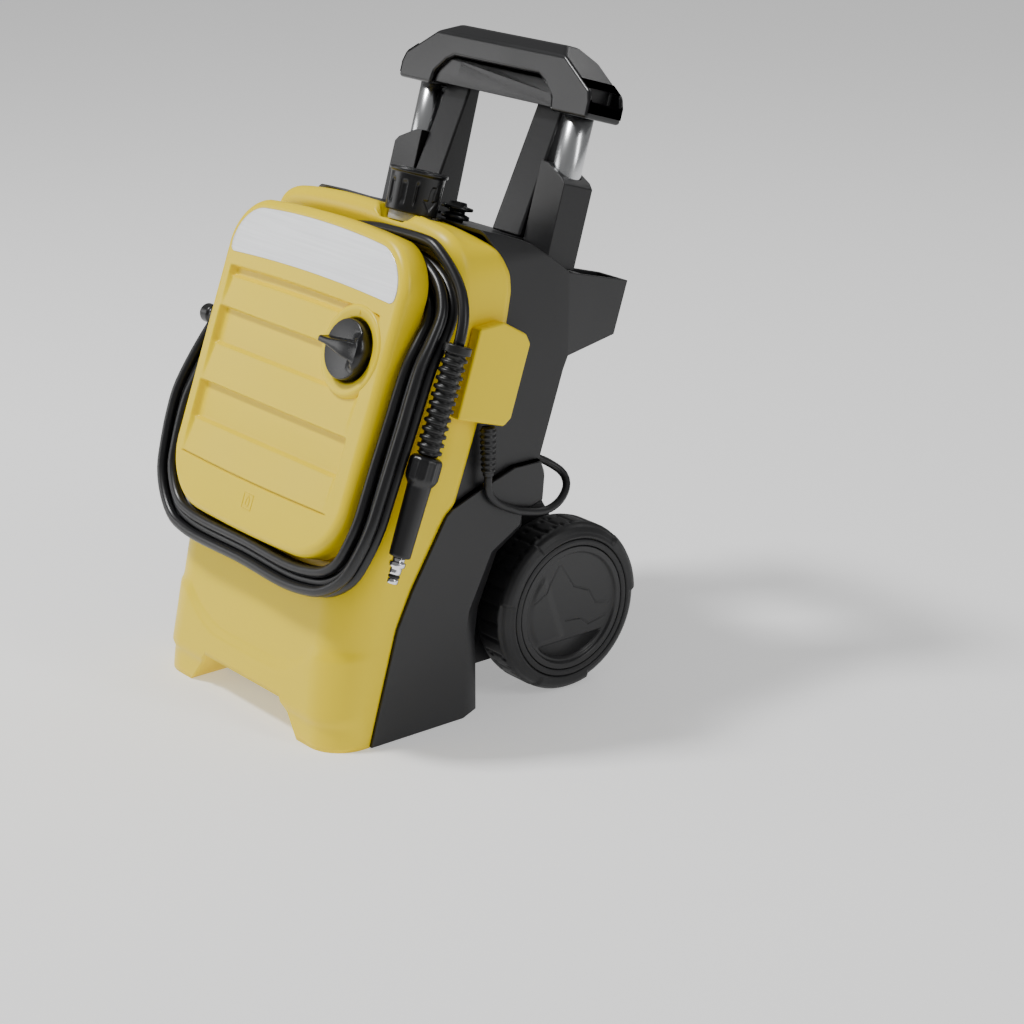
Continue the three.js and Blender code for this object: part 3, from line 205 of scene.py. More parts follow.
def hose_path():
    """Five turns round one loop, each beside the last: the place in the bundle changes over the hidden top."""
    loop = smooth_path(HOSE_LOOP, 8, closed=True)
    count = len(loop)
    ahead = np.roll(loop, -1, 0) - np.roll(loop, 1, 0)
    out = np.stack([-ahead[:, 2], 0 * ahead[:, 0], ahead[:, 0]], -1)
    out /= np.linalg.norm(out, axis=1)[:, None]
    lead = 18
    steps = np.arange(-lead, 5 * count)
    turn, at = np.divmod(steps, count)
    shift = ease(at / HOSE_SHIFT)
    now = HOSE_SLOTS[np.clip(turn, 0, 4)]
    before = np.where((turn > 0)[:, None], HOSE_SLOTS[np.clip(turn - 1, 0, 4)], HOSE_SLOTS[0])
    slot = np.where((turn < 0)[:, None], HOSE_SLOTS[0], before + (now - before) * shift[:, None])
    sway = np.stack([0.9 * np.sin(at / count * 4 * np.pi + turn),
                     0.5 * np.cos(at / count * 6 * np.pi + 2 * turn)], -1)
    slot = slot + sway * ((turn >= 0) & (at > HOSE_SHIFT))[:, None] * ease((at - HOSE_SHIFT) / 20)[:, None] \
        * ease((count - at) / 20)[:, None]
    run = loop[at] + slot[:, :1] * out[at]
    run[:, 1] += slot[:, 1]
    start = ease(1 - (steps + lead) / lead)[:, None]
    run = run + start * (np.array([-147, 20, 143]) - run[0]) * (turn < 0)[:, None]
    tail = smooth_path(np.vstack([run[-6], run[-1], np.array(HOSE_TAIL)]), 8)
    skip = np.argmin(np.linalg.norm(tail - run[-1], axis=1)) + 1
    whole = smooth_path(np.vstack([run[:-1:3], run[-1:], tail[skip::2], tail[-1:]]), 7)
    return on_cover(whole[:, 0], whole[:, 1], whole[:, 2])


hose_line = hose_path()
hose = surface_piece("hose", [(carried(hose_line, 0.005, 12), False, True)], "chassis", hose_rubber,
                     ("hose_winding", "hose_tail"))


# ---- hose coupling ----
# Ribbed rubber bend protector, then a moulded sleeve with a ribbed ring, and a plated nipple with a seal.
# They are pushed over the free end of the hose and hang beside the right flank.
LINE_X, LINE_D = 176, 40
sleeve_black = grained("sleeve_black", (0.008, 0.008, 0.009), 0.34, grain=0.10, scale=800)
plated = grained("plated", (0.80, 0.80, 0.82), 0.08, grain=0.0, metal=1.0, sheen_gap=0.03)
seal_rubber = grained("seal_rubber", (0.006, 0.006, 0.006), 0.42)


def turned_grid(profile, sides, place, relief=None):
    """A profile of (radius, height) carried round an axis. Relief(turn, height) adds to the radius."""
    profile = np.asarray(profile, float)
    turn = np.linspace(0, 2 * np.pi, sides, endpoint=False)[None, :]
    radius, height = profile[:, :1] + 0 * turn, profile[:, 1:] + 0 * turn
    if relief is not None:
        radius = np.where(radius > 0, radius + relief(turn, height), 0)
    return place(radius * np.cos(turn), radius * np.sin(turn), height)


def rounded(profile, step):
    """The same profile with points along its straight runs, about a step apart, so relief has room."""
    out = []
    for (r0, h0), (r1, h1) in zip(profile[:-1], profile[1:]):
        n = max(1, int(np.hypot(r1 - r0, h1 - h0) / step))
        out += [(r0 + (r1 - r0) * i / n, h0 + (h1 - h0) * i / n) for i in range(n)]
    return out + [profile[-1]]


def on_line(p, q, s):
    """Across, into the washer and up from the line that the coupling hangs on."""
    return on_cover(LINE_X + p, LINE_D + q, s)


def protector_ribs(turn, s):
    """Half rings that swap sides every half pitch, joined by a web along each flank."""
    half_turned = np.where(np.sin(turn) > 0, 0.0, 0.5)
    wave = np.cos(2 * np.pi * (s / 7.4 + half_turned))
    inside = ease((s - 93) / 2) * ease((181 - s) / 2)
    web = np.exp(-(np.sin(turn) / 0.16) ** 2)
    return inside * (2.7 * ease(0.5 + 1.6 * wave) * (1 - web) + 1.6 * web)


protector_profile = rounded([(0, 92), (7.6, 92), (8.8, 93), (8.8, 182), (12.2, 182.4), (12.4, 183.2), (12.4, 189),
                             (11.6, 189.8), (5.2, 189.8), (0, 189.8)], 0.9)
protector_grid = turned_grid(protector_profile, 56, on_line, protector_ribs)
protector = surface_piece("bend_protector", [(protector_grid, False, True)], "chassis", seal_rubber,
                          ("hose_bend_protector",))


def sleeve_ribs(turn, s):
    """Twelve ridges on the sleeve's thick ring."""
    return 0.9 * np.maximum(0, np.cos(12 * turn)) ** 3 * ease((s - 70) / 3) * ease((90 - s) / 3)


sleeve_profile = rounded([(0, 2), (8.6, 2), (9.3, 2.5), (9.6, 3.5), (10.5, 60), (10.7, 66), (13.2, 69.5), (13.8, 71),
                          (13.8, 88), (13.2, 90), (10.8, 91.4), (0, 91.4)], 1.6)
sleeve = surface_piece("hose_grip_sleeve", [(turned_grid(sleeve_profile, 96, on_line, sleeve_ribs), False, True)],
                       "chassis", sleeve_black, ("hose_sleeve",))
nipple_profile = rounded([(0, -22), (4.2, -22), (4.8, -21.4), (4.8, -17.6), (3.6, -17.2), (3.6, -13.8), (5.0, -13.4),
                          (5.2, -11.6), (5.2, -7.2), (6.9, -6.6), (7.1, -5.6), (7.1, -3.4), (6.9, -2.6), (5.4, -2),
                          (5.4, 1.6), (0, 1.6)], 1.5)
nipple = surface_piece("coupling_nipple", [(turned_grid(nipple_profile, 48, on_line), False, True)], "chassis",
                       plated, ("hose_nipple",))
bead = np.linspace(0, 2 * np.pi, 13)
seal_profile = np.stack([4.1 + 1.1 * np.cos(bead), -15.5 + 1.4 * np.sin(bead)], -1)
seal = surface_piece("coupling_seal", [(turned_grid(seal_profile, 40, on_line), False, True)], "chassis",
                     seal_rubber)


def on_fitting(p, q, s):
    """The round end fitting lies across the washer at the left end of the hose."""
    return on_cover(-138 - s, 15 + p, 143 + q)


fitting_profile = rounded([(0, 0), (6.6, 0), (7.2, 0.8), (7.2, 8), (8.6, 9), (9.0, 10), (9.0, 19.5), (8.4, 20.8),
                           (5.6, 21.6), (5.2, 19), (0, 18.6)], 1.5)
fitting = surface_piece("hose_end", [(turned_grid(fitting_profile, 48, on_fitting), False, True)], "chassis",
                        sleeve_black, ("hose_end_fitting",))


# ---- mains cable ----
# Black rubber mains cable, 7.5 mm across and 5 m long. A ribbed gland holds it under the cable box; it loops
# over the flank and is wound on two hooks behind, with its plug put inside the winding.
cable_rubber = grained("cable_rubber", (0.007, 0.007, 0.008), 0.42, grain=0.12, scale=700)
CABLE_FLANK = [(150, -4, 232), (150, -4, 228.6), (150, -3.6, 214), (150.2, 4, 203), (150.4, 17.4, 194.5),
               (150.6, 34, 187.4), (150.4, 60, 182), (147.5, 80, 185.8), (140, 95, 195), (131, 98, 205),
               (123, 88, 214.8), (119, 76.5, 221.5), (112, 70, 225.5), (98, 69.5, 229), (84, 71, 233), (60, 64, 234)]
STORE_LEAN = np.arctan(0.3505)
CABLE_TURNS = 11


def in_store(x, d, s):
    """Cable-store coordinates in mm (across, out from the recess, up it) turned about X, in metres."""
    x, d, s = np.broadcast_arrays(*(np.asarray(a, float) for a in (x, d, s)))
    y = 48.05 + d * np.cos(STORE_LEAN) + s * np.sin(STORE_LEAN)
    z = 308 - d * np.sin(STORE_LEAN) + s * np.cos(STORE_LEAN)
    return np.stack([x, y, z], -1) / 1000


def cable_path():
    """Eleven turns of one round-cornered loop, side by side in three layers, then a curve up to the plug."""
    turn = np.radians(np.linspace(0, 90, 7))
    arc = np.stack([np.cos(turn), np.sin(turn)], -1) * 40
    corners = [(-22, -20, -arc[:, ::-1]), (-22, 20, np.stack([-arc[:, 0], arc[:, 1]], -1)),
               (22, 20, arc[:, ::-1]), (22, -20, np.stack([arc[:, 0], -arc[:, 1]], -1))]
    loop = smooth_path(np.vstack([np.array([cx, cz]) + a for cx, cz, a in corners]), 6, closed=True)
    count = len(loop)
    ahead = np.roll(loop, -1, 0) - np.roll(loop, 1, 0)
    out = np.stack([-ahead[:, 1], ahead[:, 0]], -1)
    out /= np.linalg.norm(out, axis=1)[:, None]
    across = (11.3, 3.8, -3.8, -11.3)
    places = np.array([(a, b) for b, order in ((8.0, 1), (0.2, -1), (-7.6, 1)) for a in across[::order]])
    steps = np.arange(0, CABLE_TURNS * count + 9)
    lap, at = np.divmod(steps, count)
    shift = ease((at - (count - 9)) / 9)[:, None]
    place = places[lap] * (1 - shift) + places[np.clip(lap + 1, 0, CABLE_TURNS)] * shift
    flat = loop[at] + place[:, :1] * out[at]
    return in_store(flat[:, 0], 22 + place[:, 1], flat[:, 1])


wound = cable_path()
flank = np.array(CABLE_FLANK) / 1000
PLUG_LEAD = [(-50.7, 14.6, -27), (-48.5, 15.4, -14), (-42, 17.6, -3), (-31, 20.4, 4.2), (-24, 21.8, 5), (-18, 22, 5)]
plug_lead = in_store(*np.array(PLUG_LEAD).T)
cable_line = smooth_path(np.vstack([flank, wound[3::4], plug_lead]), 0.005)
cable = surface_piece("mains_lead", [(carried(cable_line, 0.00375, 10, upright=(0.09, 0.9, -0.42)), False, True)],
                      "chassis", cable_rubber, ("mains_cable", "cable_winding"))


def under_box(p, q, s):
    """Places round the upright line under the cable box where the gland is."""
    gland_x, gland_y, gland_z = 150, -4, 229
    return np.stack(np.broadcast_arrays(gland_x + p, gland_y + q, gland_z + s), -1) / 1000


def gland_ribs(turn, s):
    """Rings along the gland, 5.2 mm apart."""
    return 1.3 * ease(0.5 + 2 * np.cos(2 * np.pi * s / 5.2)) * ease((s - 2) / 3) * ease((44 - s) / 2)


gland_profile = rounded([(0, 0), (4.6, 0), (4.9, 0.6), (6.0, 30), (6.2, 45), (0, 45)], 0.8)
gland = surface_piece("cable_gland_sleeve", [(turned_grid(gland_profile, 36, under_box, gland_ribs), False, True)],
                      "chassis", cable_rubber, ("cable_gland",))


def on_plug(p, q, s):
    return in_store(-19 + s, 22 + q, 5 - p)


def pin_at(offset):
    return lambda p, q, s: in_store(-19 + s, 22 + q, 5 - offset - p)


def plug_waist(turn, s):
    """A flattened body with grip ribs round its waist."""
    ribs = 1.2 * np.abs(np.sin(8 * turn)) * ease((s - 10) / 4) * ease((26 - s) / 4)
    return 1.1 * np.cos(2 * turn) * ease((s - 4) / 10) - ribs


plug_profile = rounded([(0, 0), (5.4, 0), (6.2, 1), (9.6, 6), (15.6, 14), (17.6, 17), (17.8, 31), (17, 33.4),
                        (0, 34)], 1.4)
plug = surface_piece("plug_body", [(turned_grid(plug_profile, 64, on_plug, plug_waist), False, True)], "chassis",
                     cable_rubber, ("mains_plug",))
pin_profile = [(0, 33), (2.4, 33), (2.4, 50.6), (1.8, 52), (0, 52.4)]
pin_grids = [(turned_grid(pin_profile, 20, pin_at(offset)), False, True) for offset in (-9.5, 9.5)]
pins = surface_piece("plug_pins", pin_grids, "chassis", plated)


# ---- front moulding ----
# Bright yellow injection-moulded shell, about 3 mm thick, with two feet. It carries the cover and the hose; the
# black mouldings meet its back edge. A recessed panel runs up its lower front.
washer_yellow = grained("washer_yellow", (0.93, 0.69, 0.0), 0.36, grain=0.07, scale=1100, shine=0.35, drift=0.01)
FRONT_LINE = [(0, -178.6), (25, -176), (62, -169.5), (105, -161), (140, -153), (176, -137), (215, -101), (240, -84),
              (300, -59), (361, -38), (398, -31), (430, -31), (448, -33), (470, -33)]
SEAM_LINE = [(0, -133.6), (105.2, -102.3), (137.7, -85.8), (199.2, -47), (206, -37), (276, -10.6), (362.5, 22.4),
             (390, 27.7), (405.6, 26.7), (426, 17), (446, 10), (470, 6)]
EDGE_LINE = [(0, 34), (60, 40), (140, 42), (240, 34), (330, 22), (400, 15), (440, 13)]
SHELL_HALF, SHOULDER_Z, ARCH_TOP = 143.0, 395, 33
SHOULDER_LINE = [(SHELL_HALF, SHOULDER_Z), (142.6, 408), (140.5, 421), (135.5, 432), (127, 440.5), (115, 446),
                 (98, 449.3), (70, 452.3), (35, 454.4), (0, 455)]
OUTLET_AT = np.array([46.0, -11.0, 440.0])
OUTLET_SEAT = 29
HANDLE_LEAN = np.radians(16.7)
OUTLET_AXIS = np.array([0, np.sin(HANDLE_LEAN), np.cos(HANDLE_LEAN)])


def softened(table, key, blur):
    """Straight-line look-up in a table, averaged over a bell of the given width so its corners turn softly."""
    reach = np.linspace(-2.5, 2.5, 21)
    weight = np.exp(-reach**2 / 2)
    keys, values = np.array(table, float).T
    return np.interp(np.asarray(key)[..., None] + blur * reach, keys, values) @ (weight / weight.sum())


def inside_round_box(x, z, half_x, half_z, radius):
    """Distance in from the edge of a rectangle with round corners, centred on the origin."""
    qx, qz = np.abs(x) - half_x + radius, np.abs(z) - half_z + radius
    return radius - np.hypot(np.maximum(qx, 0), np.maximum(qz, 0)) - np.minimum(np.maximum(qx, qz), 0)


def front_face(x, z):
    """Depth of the front: its side profile, a shallow panel with round corners low down, and the hose channel."""
    panel = 2.6 * ease(inside_round_box(x, z - 372, 131, 316, 96) / 5)
    channel = 8 * ease((120 - np.abs(x)) / 7) * ease((z - 232) / 26) * ease((431 - z) / 9)
    toe = 4 * ease((29 - z) / 8)
    return softened(FRONT_LINE, z, 7) + panel * ease((250 - z) / 20) + channel + toe


def front_shell():
    """Rows follow the front view's outline from foot to foot. Each runs from the middle line out to the rounded
    edge and then straight back to the seam. The feet's soles and the arch between them close the underside."""
    low = np.linspace(0, ARCH_TOP, 9)
    flank = np.concatenate([low, np.linspace(ARCH_TOP, SHOULDER_Z, 92)[1:]])
    shoulder = smooth_path(SHOULDER_LINE, 4.5)
    outline = np.vstack([np.stack([np.full(len(flank), SHELL_HALF), flank], -1), shoulder[1:]])
    ahead = np.gradient(outline, axis=0)
    ahead[: len(flank)] = (0, 1)
    ahead[-1] = (-1, 0)
    out = np.stack([ahead[:, 1], -ahead[:, 0]], -1)
    out /= np.linalg.norm(out, axis=1)[:, None]
    edge = softened(EDGE_LINE, outline[:, 1], 8)[:, None]
    lip = outline - out * edge
    pole = np.stack([np.zeros(len(outline)), np.minimum(outline[:, 1], SHOULDER_Z)], -1)
    arch = np.where(outline[:, 1] < ARCH_TOP, 88 - 26 * outline[:, 1] / ARCH_TOP, 62)
    share = np.where(outline[:, 1] <= SHOULDER_Z, arch / lip[:, 0].clip(1), 0.49)[:, None]
    middle = pole + share * (lip - pole)
    inner = pole[:, None] + (middle - pole)[:, None] * np.linspace(0, 1, 30)[None, :, None]
    outer = middle[:, None] + (lip - middle)[:, None] * np.linspace(0, 1, 36)[None, 1:, None]
    face = np.concatenate([inner, outer], 1)
    face = np.concatenate([face, front_face(face[..., 0], face[..., 1])[..., None]], -1)[..., [0, 2, 1]]
    turn = np.linspace(0, np.pi / 2, 10)[None, 1:]
    ring = lip[:, None] + (out * edge)[:, None] * np.sin(turn)[..., None]
    ring_y = face[:, -1:, 1] + edge * (1 - np.cos(turn))
    end_z = outline[:, 1] - 11 * out[:, 1]
    end_y = softened(SEAM_LINE, end_z, 2) - 0.3
    back_y = ring_y[:, -1:] + (end_y[:, None] - ring_y[:, -1:]) * np.linspace(0, 1, 9)[None, 1:]
    fall = 0.33 * np.maximum(back_y + 24, 0) * out[:, 1:] ** 2
    run = np.stack([0 * back_y + outline[:, :1], back_y, outline[:, 1:] - fall], -1)
    ring = np.stack([ring[..., 0], ring_y, ring[..., 1]], -1)
    right = np.concatenate([face, ring, run], 1)
    feet, rest = right[: len(low), 29:], right[len(low) - 1:]
    edge_line = np.concatenate([feet[0, ::-1], feet[1:, 0], rest[0, 28::-1]])
    count = feet.shape[1]
    across = edge_line[:, 0].copy()
    across[8:count] -= 5 * (across[8:count] - 88) / 55
    across[:8] = np.linspace(SHELL_HALF, SHELL_HALF - 5, 9)[:8]
    under = np.linspace(0, 1, 9)[:, None, None]
    target = np.stack([across, softened(SEAM_LINE, edge_line[:, 2], 2) - 0.3, edge_line[:, 2]], -1)
    sole = edge_line[None] * (1 - under) + target[None] * under
    parts = []
    for grid in (feet, rest, sole):
        for half in (grid, grid * (-1, 1, 1)):
            h = (half - OUTLET_AT) @ OUTLET_AXIS
            off = np.linalg.norm(half - OUTLET_AT - h[..., None] * OUTLET_AXIS, axis=-1)
            sink = ease((OUTLET_SEAT - off) / 2.2) * np.maximum(h + 0.5, 0)
            parts.append(((half - sink[..., None] * OUTLET_AXIS) / 1000, False, False))
    return parts


surface_piece("front_shell", front_shell(), "chassis", washer_yellow, ("front_housing",),
              solid=0.003, closed=False)


# ---- front cover ----
# Yellow cover over the hose store: a deep round-cornered pan with three stepped boards moulded in its face and a
# round surround for the switch. It clips on to the hose spool.
COVER_HALF, COVER_LOW, COVER_HIGH = 136, -31, 266
COVER_R_LOW, COVER_R_HIGH, COVER_EDGE = 58, 46, 8
DIAL_X, DIAL_S = 86, 158


def cover_half(s, inset):
    """Half the width of the cover at a height up its face, drawn in by inset: round low and high corners."""
    low = np.clip((COVER_LOW + COVER_R_LOW - s) / (COVER_R_LOW - inset), 0, 1)
    high = np.clip((s - COVER_HIGH + COVER_R_HIGH) / (COVER_R_HIGH - inset), 0, 1)
    return COVER_HALF - inset - (COVER_R_LOW - inset) * (1 - np.sqrt(1 - low**2)) \
        - (COVER_R_HIGH - inset) * (1 - np.sqrt(1 - high**2))


def crowned(x, s):
    """The top and the bottom edge bow outwards a little."""
    bow = (x / COVER_HALF) ** 2
    return s - 9 * bow * ease((s - 150) / 116) + 5 * bow * ease((60 - s) / 91)


def slab(flat, depth, edge, back_depth, place):
    """A plate from a grid of (across, up) places: its face, an edge carried round its outline as (out, depth)
    pairs, and a flat back."""
    loop = np.concatenate([flat[0], flat[1:, -1], flat[-1, -2::-1], flat[-2:0:-1, 0]])
    deep = np.concatenate([depth[0], depth[1:, -1], depth[-1, -2::-1], depth[-2:0:-1, 0]])
    ahead = np.roll(loop, -1, 0) - np.roll(loop, 1, 0)
    out = np.stack([ahead[:, 1], -ahead[:, 0]], -1)
    out /= np.linalg.norm(out, axis=1)[:, None]
    rings = [place(loop[:, 0], deep, loop[:, 1])]
    for reach, down in edge:
        at = loop + out * reach
        rings.append(place(at[:, 0], deep * 0 + down, at[:, 1]))
    rings.append(place(loop[:, 0], deep * 0 + back_depth, loop[:, 1]))
    face = place(flat[..., 0], depth, flat[..., 1])
    back = place(flat[..., 0], depth * 0 + back_depth, flat[..., 1])
    return [(face, False, False), (np.array(rings), False, True), (back, False, False)]


def board_depth(x, s):
    """Depth of the face: a sunk field in which three boards slope out to a sharp lower edge, and a hollow under
    the switch surround."""
    field = ease((114 - x) / 9) * ease((x + 121) / 5) * ease((s - 13.6) / 1.6) * ease((197.5 - s) / 2.2)
    deep = 6.6 + 0 * s
    for low, high in ((15, 50), (85, 122), (156, 187)):
        inside = ease((s - low) / 1.3 + 0.5) * ease((high - s) / 3.4 + 0.5)
        deep = deep * (1 - inside) + (0.2 + 3.6 * (s - low) / (high - low)) * inside
    away = np.hypot(x - DIAL_X, s - DIAL_S)
    return field * deep * (1 - ease((39 - away) / 2)) + 11 * ease((33 - away) / 2)


def cover_grid():
    """Rows close together where the boards' edges and the round corners are; each runs from side to side."""
    swing = np.radians(np.linspace(0, 90, 18))
    inset = COVER_EDGE
    rows = [COVER_LOW + inset + (COVER_R_LOW - inset) * (1 - np.cos(swing)),
            COVER_HIGH - inset - (COVER_R_HIGH - inset) * (1 - np.cos(swing)), np.linspace(27, 220, 96)]
    rows += [edge + np.linspace(-3.2, 3.2, 9) for edge in (14.6, 50, 85, 122, 156, 187, 196.6)]
    s = np.unique(np.round(np.concatenate(rows), 2))
    s = s[np.concatenate([[True], np.diff(s) > 0.3])]
    a = np.sort(np.unique(np.round(np.concatenate([np.linspace(-1, 1, 131), np.linspace(0.8, 0.92, 14),
                                                   np.linspace(-0.97, -0.89, 10)]), 4)))
    x = a[None, :] * cover_half(s, inset)[:, None]
    return np.stack([x, crowned(x, s[:, None] + 0 * x)], -1), x, s[:, None] + 0 * x


cover_flat, cover_x, cover_s = cover_grid()
bend = np.radians(np.linspace(0, 90, 9))[1:]
cover_edge = [(COVER_EDGE * np.sin(t), COVER_EDGE * (1 - np.cos(t))) for t in bend]
cover_edge += [(COVER_EDGE, 26), (COVER_EDGE - 1, 27), (4.5, 27), (4, 26), (4, 13)]
surface_piece("cover_pan", slab(cover_flat, board_depth(cover_x, cover_s), cover_edge, 13, on_cover), "chassis",
              washer_yellow, ("front_cover",))


def on_dial(p, q, d):
    return on_cover(DIAL_X + p, d, DIAL_S + q)


surround_profile = rounded([(0, 12), (43.5, 12), (43.5, 5), (41.2, 1.6), (40.4, -0.2), (39.2, -1.1), (37.5, -1.4),
                            (31.5, -0.1), (29.8, 0.3), (29, 1), (28.6, 2.4), (28.4, 9.4), (0, 9.4)], 2.4)
surface_piece("switch_surround", [(turned_grid(surround_profile, 120, on_dial), False, True)], "chassis",
              washer_yellow)
mark_turn = np.linspace(0, 2 * np.pi, 24, endpoint=False)
off_mark = on_dial(-34.6 + 1.9 * np.cos(mark_turn), 2.6 * np.sin(mark_turn), -0.75)
on_mark = on_dial(0, np.linspace(32.2, 37, 8), -0.75)
surface_piece("switch_marks", [(carried(off_mark, 0.0005, 8, closed=True), True, True),
                               (carried(on_mark, 0.0005, 8, upright=(1, 0, 0)), False, True)], "chassis",
              washer_yellow)
frame_turn = np.radians(np.linspace(0, 360, 32, endpoint=False))
square = np.stack([np.cos(frame_turn), np.sin(frame_turn)], -1)
square = square / np.max(np.abs(square), axis=1)[:, None] * 7
drop = np.stack([3.4 * np.sin(mark_turn) * np.sin(mark_turn / 2), 0.6 + 4.8 * np.cos(mark_turn)], -1)
mark_grids = [(carried(on_cover(line[:, 0], -0.05, line[:, 1] - 2), 0.00045, 8, closed=True), True, True)
              for line in (square, drop)]
surface_piece("cover_marks", mark_grids, "chassis", washer_yellow)


# ---- badge plate ----
# Plain plate of fine brushed aluminium, 1 mm thick, glued under the cover's top edge.
brushed_plate = grained("brushed_plate", (0.72, 0.73, 0.74), 0.36, grain=0.3, scale=420, metal=0.8, sheen_gap=0.05,
                        streak=(0.02, 1, 1))


def badge_grid():
    """The cover's own outline high up, drawn in all round, with a straight lower edge and small round corners."""
    inset = 9.4
    swing = np.radians(np.linspace(0, 90, 14))
    s = np.unique(np.concatenate([211 + 5 * (1 - np.cos(swing)), np.linspace(216, 222, 5),
                                  COVER_HIGH - inset - (COVER_R_HIGH - inset) * (1 - np.cos(swing))]))
    corner = 5 * (1 - np.sqrt(1 - np.clip((216 - s) / 5, 0, 1) ** 2))
    x = np.linspace(-1, 1, 90)[None, :] * (cover_half(s, inset) - 6 * ease((222 - s) / 30) - corner)[:, None]
    return np.stack([x, crowned(x, s[:, None] + 0 * x)], -1)


badge_flat = badge_grid()
badge_edge = [(0.25, -0.5), (0.4, -0.25), (0.4, 0.5)]
surface_piece("badge_sheet", slab(badge_flat, 0 * badge_flat[..., 0] - 0.55, badge_edge, 0.5, on_cover), "chassis",
              brushed_plate, ("badge_plate",))


# ---- rotary switch ----
# Black moulded knob with a wedge-shaped bar, sunk in the surround. It turns a quarter turn clockwise to start.
KNOB_R = 26
switch_black = grained("switch_black", (0.005, 0.005, 0.006), 0.26, grain=0.06, scale=900)


def knob_depth(p, q):
    """Depth of the knob's face, below zero outside it: a shallow bowl, and a bar wider from tip to round heel."""
    half = 4.6 + 5.2 * ease((p + 24) / 46)
    lean = q - 1.2 + 0.05 * p
    bar = ease((half - np.abs(lean)) / 3.4 + 0.35)
    top = 17.5 - 3.5 * ease((p - 2) / 25) - 1.6 * (lean / half) ** 2 * bar
    bowl = 5.6 + 2.4 * (np.hypot(p, q) / KNOB_R) ** 2
    heel = 5.5 * ease((p - 6) / 16) * ease((19 - np.abs(q)) / 9)
    return -np.maximum(bowl + heel, bar * top)


def knob_grid():
    """Rows across a disc, closer together towards its edge."""
    q = KNOB_R * np.sin(np.radians(np.linspace(-90, 90, 100))) * 0.9999
    x = np.linspace(-1, 1, 90)[None, :] * np.sqrt(KNOB_R**2 - q**2)[:, None]
    return np.stack([x, q[:, None] + 0 * x], -1)


knob_flat = knob_grid()
knob_face = knob_depth(knob_flat[..., 0], knob_flat[..., 1])
knob_edge = [(0.7, -7.2), (1.0, -6.0), (1.0, 8.4)]
surface_piece("switch_grip", slab(knob_flat, knob_face, knob_edge, 8.4, lambda p, d, q: on_dial(p, q, d)), "switch",
              switch_black, ("switch_knob",))


# ---- outlet and inlet ----
# Light grey outlet socket in a seat in the roof, with the black release collar that snaps over the hose end,
# and behind it the black water inlet with two flanges. Both lean back with the handle.
socket_grey = grained("socket_grey", (0.42, 0.43, 0.44), 0.40, grain=0.08, scale=900)
collar_black = grained("collar_black", (0.006, 0.006, 0.007), 0.30, grain=0.07, scale=900)


def leaning_at(origin):
    """Places round an axis that leans back with the handle: across, back and up it, from the origin."""
    side = np.array([0, np.cos(HANDLE_LEAN), -np.sin(HANDLE_LEAN)])

    def place(p, q, h):
        p, q, h = np.broadcast_arrays(p, q, h)
        return (origin + p[..., None] * (1, 0, 0) + q[..., None] * side + h[..., None] * OUTLET_AXIS) / 1000
    return place


on_outlet = leaning_at(OUTLET_AT)
on_inlet = leaning_at(np.array([53.0, 36.0, 440.0]))


def collar_relief(turn, h):
    """Lens-shaped flutes round the collar, and one smooth field with a sunk arrow that points down."""
    face = np.cos(turn - 0.03)
    flutes = 1.9 * ease(np.cos(11 * (turn - 0.03)) * 1.5 - 0.1) * ease((h - 12) / 9) * ease((38 - h) / 5) \
        * ease((0.86 - face) / 0.05)
    u = 23 * np.arctan2(np.sin(turn - 0.03), face)
    head = ease((7.2 * (h - 13) / 9 - np.abs(u)) / 0.8 + 0.5) * (h < 22.2) * (h > 12.6)
    shaft = ease((2.4 - np.abs(u - 1.2 * (h > 29) * (h - 29) / 5)) / 0.8 + 0.5) * (h >= 22.2) * (h < 35)
    return np.where((h > 9.4) & (h < 42.2), -flutes - 1.1 * np.clip(head + shaft, 0, 1), 0)


collar_profile = rounded([(19.6, 8.4), (22.6, 8.4), (23.4, 9.2), (24.4, 42.4), (25.2, 43.2), (26.3, 43.9),
                          (26.4, 45.9), (25.6, 46.8), (13.2, 46.9), (12.2, 46.2), (12.2, 42.6), (18.8, 41.4),
                          (19.6, 39.4), (19.6, 8.4)], 0.8)
surface_piece("release_collar", [(turned_grid(collar_profile, 220, on_outlet, collar_relief), False, True)], "collar",
              collar_black, ("outlet_collar",))
socket_profile = rounded([(6, -10), (8, -10), (8, 0.4), (18.5, 0.4), (18.9, 0.8), (18.9, 17.4), (18.3, 18),
                          (14.4, 19), (14, 19.6), (14, 29.6), (13.4, 30), (6.5, 30), (6, 29.4), (6, -10)], 3)
surface_piece("outlet_bush", [(turned_grid(socket_profile, 72, on_outlet), False, True)], "chassis",
              socket_grey, ("outlet_socket",))
inlet_profile = rounded([(6, -30), (8, -30), (8, -3), (12.4, -2.4), (13, -1.8), (13, 0.9), (12.4, 1.5), (8.4, 2.8),
                         (8.2, 5), (14.2, 6.2), (15, 7), (15, 8.4), (14.2, 9.2), (9, 9.9), (8.2, 12.4), (7.6, 13),
                         (6.4, 13), (6, 12.4), (6, -30)], 3)
surface_piece("inlet_stub", [(turned_grid(inlet_profile, 64, on_inlet), False, True)], "chassis",
              collar_black, ("inlet_nipple",))


# ---- black mouldings ----
# Satin black plastic: the lower moulding round the wheels, the upper one with the tube sleeves and lance pockets, the
# carrying frame and the cable hooks. Each solid's flat faces are kept and its edges are rounded off.
washer_black = grained("washer_black", (0.011, 0.011, 0.012), 0.40, grain=0.12, scale=1300)
frame_black = grained("frame_black", (0.008, 0.008, 0.009), 0.34, grain=0.10, scale=1300)


